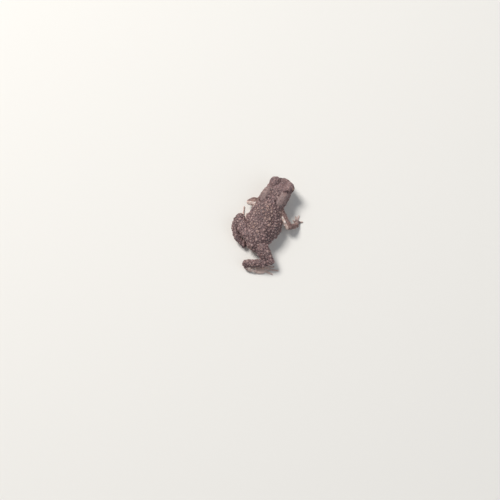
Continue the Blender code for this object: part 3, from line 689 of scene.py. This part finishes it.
def distance_to_path(points, path):
    """Each point's least distance to the straight lines between the path's points."""
    least = np.full(len(points), np.inf)
    for a, b in zip(path, path[1:]):
        share = np.clip(((points - a) @ (b - a)) / np.dot(b - a, b - a), 0, 1)
        least = np.minimum(least, np.linalg.norm(points - a - share[:, None] * (b - a), axis=1))
    return least


def near_tube(points, path):
    """How far each point is outside a tube, in its radii, and its share along the tube."""
    depth = np.full(len(points), np.inf)
    along = np.zeros(len(points))
    for number, ((a, ra), (b, rb)) in enumerate(zip(path, path[1:])):
        a, b = np.array(a), np.array(b)
        share = np.clip(((points - a) @ (b - a)) / np.dot(b - a, b - a), 0, 1)
        radius = ra + (rb - ra) * share
        ratio = np.linalg.norm(points - a - share[:, None] * (b - a), axis=1) / radius
        nearer = ratio < depth
        depth = np.where(nearer, ratio, depth)
        along = np.where(nearer, (number + share) / (len(path) - 1), along)
    return depth, along


def waves(points, length, seed):
    """A soft seeded unevenness with a spread of 1: the sum of plane waves of about the given length."""
    rng = np.random.default_rng(seed)
    directions = unit(rng.normal(size=(WAVES, 3)))
    numbers = 2 * np.pi / (length * rng.uniform(0.7, 1.4, WAVES))
    phases = rng.uniform(0, 2 * np.pi, WAVES)
    total = np.zeros(len(points))
    for direction, number, phase in zip(directions, numbers, phases):
        total += np.sin(points @ direction * number + phase)
    return total / math.sqrt(WAVES / 2)


def regions(points, normals):
    """Where each point of the skin belongs, as shares from 0 to 1.

    The shares are of toes and soles, of limbs, of arms, of glands, of the furrow round each, of the eyes'
    surroundings, of the head, of the underside and of pale skin; S is the length along the body.
    """
    s = points[:, 1] - VENT_AHEAD
    extremity_share = pale = limb = arm = behind_arm = gland = furrow = eye = np.zeros(len(points))
    for name, (root, (middle, half_sizes, yaw), tips) in EXTREMITIES.items():
        own = np.zeros(len(points))
        for tip in tips:
            line = [np.array((*middle[:2], TOE_LEVELS[0])), np.array((*tip, TOE_LEVELS[1]))]
            own = np.maximum(own, 1 - step(*TOE_EDGE, distance_to_path(points, line)))
        spin = math.radians(yaw)
        offset = points - middle
        across = offset @ (math.cos(spin), -math.sin(spin), 0.0) / half_sizes[0]
        along = offset @ (math.sin(spin), math.cos(spin), 0.0) / half_sizes[1]
        sole = np.sqrt(across**2 + along**2 + (offset[:, 2] / SOLE_HEIGHT) ** 2)
        own = np.maximum(own, 1 - step(*SOLE_EDGE, sole))
        extremity_share = np.maximum(extremity_share, own)
        if name.startswith("hand"):
            fingers = step(*FINGERS_FROM, np.linalg.norm(offset[:, :2], axis=1))
            pale = np.maximum(pale, own * (HAND_PALE + (1 - HAND_PALE) * fingers))
        else:
            depth, along = near_tube(points, root)
            heel = (1 - step(*HEEL_EDGE, depth)) * step(*HEEL_FROM, along)
            extremity_share = np.maximum(extremity_share, HEEL_SMOOTH * heel)
            pale = np.maximum(pale, np.maximum(own, HEEL_PALE * heel))
    for name, path in LIMBS.items():
        depth, _ = near_tube(points, path)
        share = 1 - step(*LIMB_EDGE, depth)
        limb = np.maximum(limb, share)
        if "arm" in name:
            arm = np.maximum(arm, share)
            facing = normals @ ARM_INSIDE[name.split("_")[-1]]
            behind_arm = np.maximum(behind_arm, step(*INNER_ARM_EDGE, facing) * share)
    for side in (1, -1):
        place, (wide, long, _) = PAROTOID
        centre = trunk_point(place[0], side * place[1], place[2])
        ahead, right = head_axes(place[0])
        spin = math.radians(PAROTOID_YAW * side)
        along = ahead * math.cos(spin) + right * math.sin(spin)
        offset = points - centre
        forward = offset @ along
        apart = np.linalg.norm(offset - forward[:, None] * along, axis=1)
        reach = np.hypot(forward / long, apart / (wide * GLAND_WIDER))
        gland = np.maximum(gland, 1 - step(*GLAND_EDGE, reach))
        furrow = np.maximum(furrow, bell(reach - FURROW_REACH, FURROW_WIDTH))
        from_eye = np.linalg.norm(points - eye_centre(side), axis=1)
        eye = np.maximum(eye, 1 - step(*EYE_EDGE, from_eye))
    head = step(*HEAD_EDGE, s)
    low = 1 - step(*BELLY_FADE, points[:, 2] - np.interp(s, *zip(*BELLY_EDGE)))
    trunk_under = low * (1 - step(*TRUNK_UNDER, normals[:, 2]))
    limb_under = 1 - step(*LIMB_UNDER, normals[:, 2])
    under = np.maximum(limb * limb_under + (1 - limb) * trunk_under, behind_arm)
    return s, extremity_share, limb, arm, gland, furrow, eye, head, under, np.maximum(pale, under)


def drawn_warts(rng, points, chance, placed, count, small, large, spacing):
    """Adds warts at points drawn by chance, the large ones first, each clear of those placed before it."""
    radii = np.sort(rng.uniform(0, 1, count) ** WART_SKEW * (large - small) + small)[::-1]
    picks = rng.choice(len(points), size=(count, WART_TRIES), p=chance / chance.sum())
    for radius, tries in zip(radii, picks):
        known = np.array(placed).reshape(-1, 4)
        for place in points[tries]:
            room = np.linalg.norm(known[:, :3] - place, axis=1) - spacing * (known[:, 3] + radius)
            if not len(known) or room.min() > 0:
                placed.append((*place, radius))
                break


def flank_rows(points):
    """The larger pale warts down each flank, on the skin's points nearest to a curve seen from above."""
    row = np.array(FLANK_ROW)
    curve = cubic(np.linspace(0, len(row) - 1, FLANK_ROW_WARTS), np.arange(len(row)), row)
    spine = cubic(curve[:, 1] - VENT_AHEAD, *zip(*SPINE))
    placed = []
    for side in (1, -1):
        for (right, ahead), middle in zip(curve, spine):
            wanted = np.array((middle + side * (right - middle), ahead))
            too_low = np.where(points[:, 2] > FLANK_ABOVE, 0.0, FAR)
            nearest = np.argmin(np.linalg.norm(points[:, :2] - wanted, axis=1) + too_low)
            placed.append((*points[nearest], FLANK_ROW_RADIUS))
    return placed


def wart_relief(points, bent, warts, heights):
    """Height of the warts at each point, how far up a wart it is from 0 to 1, and the tone of that wart.

    A wart is the dome (1 - (d / r)^2)^WART_DOME of its height, d being the distance from its middle to the
    point's bent place and r its radius.
    """
    order = np.argsort(points[:, 0])
    sorted_points = points[order]
    bent = bent[order]
    relief, share, tone = np.zeros(len(points)), np.zeros(len(points)), np.full(len(points), 0.5)
    room = warts[:, 3] + BENT_REACH * WART_UNEVENNESS
    starts = np.searchsorted(sorted_points[:, 0], warts[:, 0] - room)
    ends = np.searchsorted(sorted_points[:, 0], warts[:, 0] + room)
    tones = np.random.default_rng(SEED + 2).uniform(0, 1, len(warts))
    tones = np.clip(tones + TONE_DRIFT * waves(warts[:, :3], TONE_LENGTH, SEED + 4), 0, 1)
    tones[: 2 * FLANK_ROW_WARTS] = 1.0
    for (x, y, z, radius), height, start, end, own in zip(warts, heights, starts, ends, tones):
        offset = bent[start:end] - (x, y, z)
        dome = np.clip(1 - np.einsum("ij,ij->i", offset, offset) / radius**2, 0, 1) ** WART_DOME
        touched = np.flatnonzero(dome)
        place = order[start + touched]
        tone[place] = np.where(dome[touched] > share[place], own, tone[place])
        relief[place] = np.maximum(relief[place], dome[touched] * height)
        share[place] = np.maximum(share[place], dome[touched])
    return relief, share, tone


def skin_shells():
    """Every form under the skin but the lids' margins."""
    shells = [trunk()]
    for side in (1, -1):
        shells += [
            head_form(*PAROTOID, side, PAROTOID_YAW, PAROTOID_ROLL),
            head_form(*UPPER_LID, side, LID_YAW),
            head_form(*LOWER_LID, side, LID_YAW),
            head_form(*BROW_RIDGE, side, BROW_YAW, pitch=BROW_PITCH),
            head_form(*EARDRUM, side),
            head_form(*NOSTRIL, side),
        ]
    shells += [lip(LIP_SPREAD), lip(-LIP_SPREAD)]
    shells += [tube(path, under=TRUNK_UNDER_SKIN * LIMBS_UNDER_SKIN) for path in LIMBS.values()]
    for name in EXTREMITIES:
        shells += extremity(name)
    return shells


def make_skin():
    """The whole skin: forms made one, smoothed and opened for the eyes, then raised into warts and folds.

    The mouth, the nostrils and a furrow round each gland are let in and darkened with painted shade, and
    nothing passes the solids' box.
    """
    points, triangles, edges = even_skin(skin_shells())
    extremity_share = regions(points, normals_of(points, triangles))[1]
    points = smoothed(points, edges, SMOOTH_SHARE * (1 - TOES_KEPT * extremity_share), SMOOTH_TURNS)
    size = EYE_RADIUS + SOCKET_ROOM
    balls = [ellipsoid(eye_centre(side), np.eye(3) * size, 48, 72) for side in (1, -1)]
    points, triangles, _ = carved(points, triangles, balls)
    points, triangles, edges = even_skin([(points, triangles)] + [lid_ring(side) for side in (1, -1)])
    points = smoothed(points, edges, np.full(len(points), SMOOTH_SHARE), LID_TURNS, back=LID_BACK)

    normals = normals_of(points, triangles)
    s, extremity_share, limb, arm, gland, furrow, eye, head, under, pale = regions(points, normals)
    body = (1 - limb) * (1 - head)
    bare = (1 - extremity_share) * (1 - GLAND_BARE * gland) * (1 - EYE_BARE * eye)
    rng = np.random.default_rng(SEED)
    placed = flank_rows(points)
    heights = [WARTS[0][3]] * len(placed)
    for (count, small, large, tall, spacing), (on_limb, on_head, on_under) in zip(WARTS, WART_CHANCES):
        above = (1 - under) * (body + on_limb * limb + on_head * head)
        chance = bare * (above + on_under * under) + LEAST_CHANCE
        drawn_warts(rng, points, chance, placed, count, small, large, spacing)
        heights += [tall] * (len(placed) - len(heights))
    warts = np.array(placed)
    sway = np.stack([waves(points, OUTLINE_LENGTH, SEED + 10 + i) for i in range(3)], axis=1)
    bent = points + WART_UNEVENNESS * sway
    relief, wart, tone = wart_relief(points, bent, warts, warts[:, 3] * np.array(heights))
    relief *= 1 - TOES_SMOOTH * extremity_share
    from_mouth = distance_to_path(points, np.array(mouth_round(0.0, 0.0, MOUTH_STOPS)))
    relief *= 1 - LIPS_SMOOTH * bell(from_mouth, LIPS_WIDTH)

    loose = (1 - extremity_share) * (1 - eye)
    relief += FOLDS[0] * waves(points, FOLDS[1], SEED) * loose * (1 - FOLDS_ON_GLAND * gland)
    relief += CREASES[0] * waves(points, CREASES[1], SEED + 1) * loose
    mean, varies, length = FURROW_BREAKS
    furrow = furrow * np.clip(mean + varies * waves(points, length, SEED + 5), 0, 1) * (1 - limb)
    groove = bell(from_mouth, MOUTH_WIDTH)
    relief -= FURROW_DEPTH * furrow + MOUTH_DEPTH * groove
    # Each nostril is a pit, which is also darkened with painted shade.
    hole = np.add(NOSTRIL[0], NOSTRIL_HOLE_OFFSET)
    pit = rim = np.zeros(len(points))
    for side in (1, -1):
        wanted = trunk_point(hole[0], side * hole[1], hole[2])
        centre = points[np.argmin(np.linalg.norm(points - wanted, axis=1))]
        away = np.linalg.norm(points - centre, axis=1)
        relief *= 1 - bell(away, NOSTRIL_SMOOTH)
        pit = np.maximum(pit, np.exp(-((away / NOSTRIL_RADIUS) ** 4)))
        rim = np.maximum(rim, bell(away - NOSTRIL_RIM_REACH * NOSTRIL_RADIUS, NOSTRIL_RIM_WIDTH))
    relief += NOSTRIL_RIM_HEIGHT * rim - NOSTRIL_DEPTH * pit
    points = points + relief[:, None] * normals
    points[:, 2] = np.maximum(points[:, 2], 0.0)

    obj = mesh_object("skin", placed_in_frame(points), triangles)
    # Painted shade: full in the mouth's line and the nostrils, weaker in the furrows round the glands.
    shadow = np.maximum(np.maximum(groove, pit), FURROW_SHADE * furrow)
    lateral = points[:, 0] - cubic(s, *zip(*SPINE))
    tan = np.exp(-(((s - TAN_PATCH[0]) / TAN_PATCH[1]) ** 2) - (lateral / TAN_PATCH[2]) ** 2) * (1 - limb)
    tan = np.clip(tan + TAN_UNEVENNESS[0] * waves(points, TAN_UNEVENNESS[1], SEED + 3), 0, 1)
    mark(obj, wart=wart, tone=tone, pale=pale, gland=gland, hollow=shadow, head=head, arm=arm, tan=tan)
    if len(triangles) > SKIN_TRIANGLES:
        fewer = obj.modifiers.new("fewer triangles", "DECIMATE")
        fewer.ratio = SKIN_TRIANGLES / len(triangles)
        obj = added("skin", applied(obj))
    kept = np.empty(len(obj.data.vertices) * 3, dtype=np.float32)
    obj.data.vertices.foreach_get("co", kept)
    low, high = (np.array(corner) for corner in cad_box)
    obj.data.vertices.foreach_set("co", np.clip(kept.reshape(-1, 3), low, high).ravel())
    obj.data.shade_smooth()
    return obj


def eye_box_centre(name):
    """The middle of a node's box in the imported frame, in metres."""
    low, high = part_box(name)
    return (np.array(low) + np.array(high)) / 2


# Where the toad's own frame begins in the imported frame, known from the right eye.
SHIFT = eye_box_centre("eye_right") - np.array((-1.0, -1.0, 1.0)) * eye_centre(1) * MM


def placed_in_frame(points):
    """The toad's (right, ahead, up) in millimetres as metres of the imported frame."""
    return np.asarray(points) * (-MM, -MM, MM) + SHIFT


def make_eye(side, name):
    """An eyeball: rings about the gaze, with the cornea raised as the cube of a cosine.

    Each point keeps its distance ahead and above of the pupil's middle, for the iris to be painted by.
    """
    gaze, along, above = eye_axes(side)
    polar, turn = np.meshgrid(np.linspace(0, np.pi, 73)[1:-1], round_angles(96), indexing="ij")
    radius = EYE_RADIUS - CORNEA + CORNEA * np.clip(np.cos(polar), 0, 1) ** 3
    across, rise = np.sin(polar) * np.cos(turn), np.sin(polar) * np.sin(turn)
    direction = np.cos(polar)[..., None] * gaze + across[..., None] * along + rise[..., None] * above
    rows = eye_centre(side) + radius[..., None] * direction
    front = eye_centre(side) + EYE_RADIUS * gaze
    rear = eye_centre(side) - (EYE_RADIUS - CORNEA) * gaze
    points, triangles = capped_grid(rows, front, rear)
    offset = points - eye_centre(side)
    obj = mesh_object(name, placed_in_frame(points), triangles)
    mark(obj, ahead=offset @ along, above=offset @ above)
    obj.data.shade_smooth()
    return obj


class Nodes:
    """A material's node tree with short ways to add and join its nodes."""

    def __init__(self, name):
        self.material = bpy.data.materials.new(name)
        self.material.use_nodes = True
        self.tree = self.material.node_tree
        self.shader = self.tree.nodes["Principled BSDF"]

    def add(self, kind, **settings):
        """A new node with these settings."""
        node = self.tree.nodes.new(kind)
        for key, value in settings.items():
            setattr(node, key, value)
        return node

    def feed(self, socket, value):
        """Joins another node's output to the socket, or sets the socket's own value."""
        if isinstance(value, bpy.types.NodeSocket):
            self.tree.links.new(value, socket)
        else:
            socket.default_value = value

    def attribute(self, name):
        """The number kept with each point under a name."""
        return self.add("ShaderNodeAttribute", attribute_name=name).outputs["Fac"]

    def math(self, operation, first, second=0.0):
        """A sum, product or other result of two numbers."""
        node = self.add("ShaderNodeMath", operation=operation)
        self.feed(node.inputs[0], first)
        self.feed(node.inputs[1], second)
        return node.outputs[0]

    def times(self, first, second):
        """The product of two numbers."""
        return self.math("MULTIPLY", first, second)

    def length(self, first, second):
        """The root of the sum of two numbers' squares."""
        return self.math("SQRT", self.math("ADD", self.times(first, first), self.times(second, second)))

    def ramp(self, value, low, high, start=0.0, end=1.0):
        """A smooth change from start, where the value is low, to end, where it is high."""
        node = self.add("ShaderNodeMapRange", interpolation_type="SMOOTHSTEP")
        for socket, number in zip(node.inputs, (value, low, high, start, end)):
            self.feed(socket, number)
        return node.outputs[0]

    def blend(self, share, first, second, kind="MIX"):
        """The first colour turned into the second by a share."""
        node = self.add("ShaderNodeMix", data_type="RGBA", blend_type=kind)
        for socket, value in ((node.inputs[0], share), (node.inputs[6], first), (node.inputs[7], second)):
            self.feed(socket, (*value, 1.0) if isinstance(value, tuple) else value)
        return node.outputs[2]

    def noise(self, scale, detail=3.0, roughness=0.55):
        """Soft noise, the finer the larger its scale."""
        node = self.add("ShaderNodeTexNoise")
        node.inputs["Scale"].default_value = scale
        node.inputs["Detail"].default_value = detail
        node.inputs["Roughness"].default_value = roughness
        self.tree.links.new(self.place(), node.inputs["Vector"])
        return node.outputs["Fac"]

    def place(self):
        """Each point's place on the object."""
        return self.add("ShaderNodeTexCoord").outputs["Object"]

    def cells(self, scale):
        """The distance to the nearest of many scattered middles, closer the larger the scale."""
        node = self.add("ShaderNodeTexVoronoi")
        node.inputs["Scale"].default_value = scale
        self.tree.links.new(self.place(), node.inputs["Vector"])
        return node.outputs["Distance"]

    def bump(self, height, distance, strength=1.0, below=None):
        """The normal tilted by a height, on top of the bump below."""
        node = self.add("ShaderNodeBump")
        node.inputs["Strength"].default_value = strength
        node.inputs["Distance"].default_value = distance
        self.tree.links.new(height, node.inputs["Height"])
        if below is not None:
            self.tree.links.new(below, node.inputs["Normal"])
        return node.outputs["Normal"]


SKIN_GAP_AND_SHADE = (0.070, 0.037, 0.042)  # between the warts: the skin's dark ground, partly painted shade where the warts shade each other
SKIN_WART = (0.315, 0.202, 0.198)
SKIN_TAN = (0.37, 0.25, 0.20)
SKIN_TIP = (0.43, 0.32, 0.295)
SKIN_DARK = (0.43, 0.39, 0.42)  # share of the colour left in the darker blotches
SKIN_GLAND = (0.27, 0.188, 0.178)
SKIN_HEAD = (0.195, 0.122, 0.126)
SKIN_ARM = (0.34, 0.205, 0.17)
SKIN_PALE = (0.58, 0.455, 0.41)
SKIN_WHITE = (0.76, 0.69, 0.65)
# Painted shade in the mouth's line, the nostrils and the furrows round the glands.
SKIN_PAINTED_SHADE = (0.03, 0.016, 0.015)


def skin_material():
    """Purple-brown skin: dark between the warts, partly as painted shade, pinkish on them, with pale fingers
    and underside.
    """
    n = Nodes("toad skin")
    names = ("wart", "tone", "pale", "gland", "hollow", "head", "arm", "tan")
    wart, tone, pale, gland, hollow, head, arm, tan = (n.attribute(name) for name in names)
    # Dark between the warts and at their feet, partly painted shade; lighter on the head.
    between = n.blend(n.times(head, 0.8), SKIN_GAP_AND_SHADE, SKIN_HEAD)
    between = n.blend(n.ramp(n.noise(1300.0, 2.0), 0.52, 0.66, 0.0, 0.55), between, SKIN_WART)
    colour = n.blend(n.ramp(wart, 0.02, 0.42), between, SKIN_WART)
    colour = n.blend(n.times(n.ramp(wart, 0.1, 0.6), n.times(tan, 0.8)), colour, SKIN_TAN)
    top = n.times(n.ramp(wart, 0.35, 0.95), n.ramp(tone, 0.4, 1.0, 0.0, 0.7))
    colour = n.blend(top, colour, n.blend(n.ramp(tone, 0.5, 0.8), SKIN_TAN, SKIN_TIP))
    colour = n.blend(n.times(arm, 0.45), colour, SKIN_ARM)
    colour = n.blend(n.times(gland, 0.85), colour, SKIN_GLAND)
    grains = n.cells(1900.0)
    colour = n.blend(n.ramp(grains, 0.15, 0.6, 0.28, 0.0), colour, SKIN_TIP)
    blotches = n.ramp(n.noise(140.0, 4.0), 0.42, 0.68, 0.0, 0.75)
    spots = n.ramp(n.noise(850.0, 3.0), 0.50, 0.62, 0.0, 0.75)
    darker = n.math("MAXIMUM", blotches, spots)
    colour = n.blend(darker, colour, n.blend(1.0, colour, SKIN_DARK, "MULTIPLY"))
    edge = n.ramp(n.math("ADD", pale, n.times(n.noise(420.0), 0.5)), 0.5, 1.1)
    speckled = n.blend(n.ramp(n.noise(900.0), 0.45, 0.72, 0.0, 0.6), SKIN_PALE, SKIN_WART)
    colour = n.blend(edge, colour, n.blend(n.ramp(wart, 0.1, 0.7, 0.0, 0.8), speckled, SKIN_WHITE))
    # Painted shade in the mouth's line, the nostrils and the furrows round the glands.
    colour = n.blend(n.times(hollow, 0.9), colour, SKIN_PAINTED_SHADE)
    n.feed(n.shader.inputs["Base Color"], colour)
    n.feed(n.shader.inputs["Roughness"], n.ramp(n.noise(1200.0, 2.0), 0.3, 0.7, 0.48, 0.68))
    n.shader.inputs["Specular IOR Level"].default_value = 0.45
    n.shader.inputs["Subsurface Weight"].default_value = 0.12
    n.shader.inputs["Subsurface Radius"].default_value = (1.0, 0.45, 0.3)
    n.shader.inputs["Subsurface Scale"].default_value = 0.0008
    fine = n.bump(n.noise(5200.0, 4.0), 0.00008, 0.7)
    grainy = n.bump(grains, -0.00016, 0.8, fine)
    n.feed(n.shader.inputs["Normal"], grainy)
    return n.material


IRIS_COPPER = (0.52, 0.17, 0.035)
IRIS_GOLD = (0.80, 0.40, 0.10)
IRIS_DARK = (0.035, 0.016, 0.01)


def eye_material():
    """Copper iris with dark flecks, a gold line round a level oval pupil, and a clear wet front."""
    n = Nodes("toad eye")
    ahead, above = n.attribute("ahead"), n.attribute("above")
    across = n.math("DIVIDE", ahead, PUPIL[0])
    rise = n.math("DIVIDE", above, PUPIL[1])
    pupil = n.length(across, rise)
    outer = n.length(ahead, above)
    flecks = n.ramp(n.noise(2600.0, 5.0, 0.65), 0.48, 0.62)
    colour = n.blend(flecks, IRIS_COPPER, IRIS_DARK)
    colour = n.blend(n.ramp(n.noise(4200.0, 3.0), 0.45, 0.65, 0.0, 0.6), colour, IRIS_GOLD)
    colour = n.blend(n.ramp(pupil, 1.30, 1.12), colour, IRIS_GOLD)
    colour = n.blend(n.ramp(pupil, 1.05, 0.97), colour, IRIS_DARK)
    colour = n.blend(n.ramp(pupil, 1.0, 0.94), colour, (0.002, 0.002, 0.002))
    colour = n.blend(n.ramp(outer, IRIS_RADIUS - 0.15, IRIS_RADIUS + 0.1), colour, IRIS_DARK)
    n.feed(n.shader.inputs["Base Color"], colour)
    n.shader.inputs["Roughness"].default_value = 0.32
    n.shader.inputs["Specular IOR Level"].default_value = 0.15
    n.shader.inputs["Coat Weight"].default_value = 1.0
    n.shader.inputs["Coat Roughness"].default_value = 0.02
    n.shader.inputs["Coat IOR"].default_value = 1.4
    return n.material


def floor_material():
    """Matt and pale."""
    n = Nodes("pale floor")
    n.shader.inputs["Base Color"].default_value = (0.72, 0.71, 0.69, 1.0)
    n.shader.inputs["Roughness"].default_value = 0.85
    return n.material


def make_floor():
    """A plain pale floor, well past the camera's view."""
    half = 1.5
    corners = np.array([(-half, -half, 0), (half, -half, 0), (half, half, 0), (-half, half, 0)])
    obj = mesh_object("floor", corners, np.array([(0, 1, 2), (0, 2, 3)]))
    obj.data.materials.append(floor_material())


# The camera's aim on the floor in the toad's frame, and where it stands from there.
AIM = (-2.5, -18.4, 0.0)
CAMERA_DISTANCE = 0.60
CAMERA_TURN = 200.0  # degrees round from straight ahead of the snout, by way of its left side
CAMERA_LIFT = 75.0
LIGHTS = [  # name, turn, lift, distance, size, power, colour
    ("key light", 65.0, 52.0, 2.2, 0.75, 53.0, (1.0, 0.97, 0.92)),
    ("fill light", 265.0, 40.0, 2.0, 1.8, 8.0, (0.92, 0.96, 1.0)),
]


def direction_from(turn, lift):
    """The unit direction at a turn about the vertical, from -Y towards +X, and a lift from level."""
    a, e = math.radians(turn), math.radians(lift)
    return Vector((math.sin(a) * math.cos(e), -math.cos(a) * math.cos(e), math.sin(e)))


def make_camera():
    """Looks steeply down at the toad from behind."""
    camera = bpy.data.cameras.new("camera")
    camera.lens = 60.0
    camera.sensor_width = 36.0
    camera.clip_start = 0.01
    obj = added("camera", camera)
    towards = direction_from(CAMERA_TURN, CAMERA_LIFT)
    obj.location = Vector(placed_in_frame(AIM)) + towards * CAMERA_DISTANCE
    obj.rotation_euler = towards.to_track_quat("Z", "Y").to_euler()
    bpy.context.scene.camera = obj


def make_light(name, turn, lift, distance, size, power, colour):
    """A square soft light aimed at the floor under the toad's middle."""
    light = bpy.data.lights.new(name, "AREA")
    light.size = size
    light.energy = power
    light.color = colour
    obj = added(name, light)
    towards = direction_from(turn, lift)
    obj.location = towards * distance
    obj.rotation_euler = towards.to_track_quat("Z", "Y").to_euler()


def make_world():
    """Soft light from all round, and a plain pale backdrop behind the floor's edge."""
    world = bpy.data.worlds.new("room")
    world.use_nodes = True
    tree = world.node_tree
    light = tree.nodes["Background"]
    light.inputs["Color"].default_value = (0.93, 0.96, 1.0, 1.0)
    light.inputs["Strength"].default_value = 0.30
    backdrop = tree.nodes.new("ShaderNodeBackground")
    backdrop.inputs["Color"].default_value = (0.80, 0.80, 0.79, 1.0)
    mix = tree.nodes.new("ShaderNodeMixShader")
    tree.links.new(tree.nodes.new("ShaderNodeLightPath").outputs["Is Camera Ray"], mix.inputs[0])
    tree.links.new(light.outputs[0], mix.inputs[1])
    tree.links.new(backdrop.outputs[0], mix.inputs[2])
    tree.links.new(mix.outputs[0], tree.nodes["World Output"].inputs["Surface"])
    bpy.context.scene.world = world


def main():
    """Makes each piece, hides the nodes it stands for, hangs it on the root body and sets it before the
    camera.
    """
    scene = bpy.context.scene
    scene.view_settings.view_transform = "Standard"
    flesh = [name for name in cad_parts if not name.startswith("eye")]
    skin = make_skin()
    skin.data.materials.append(skin_material())
    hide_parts(*flesh)
    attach(skin, "root")
    iris = eye_material()
    for side, word in ((1, "right"), (-1, "left")):
        eye = make_eye(side, "eyeball_" + word)
        eye.data.materials.append(iris)
        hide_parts("eye_" + word)
        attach(eye, "root")
    make_floor()
    make_camera()
    make_world()
    for row in LIGHTS:
        make_light(*row)


main()
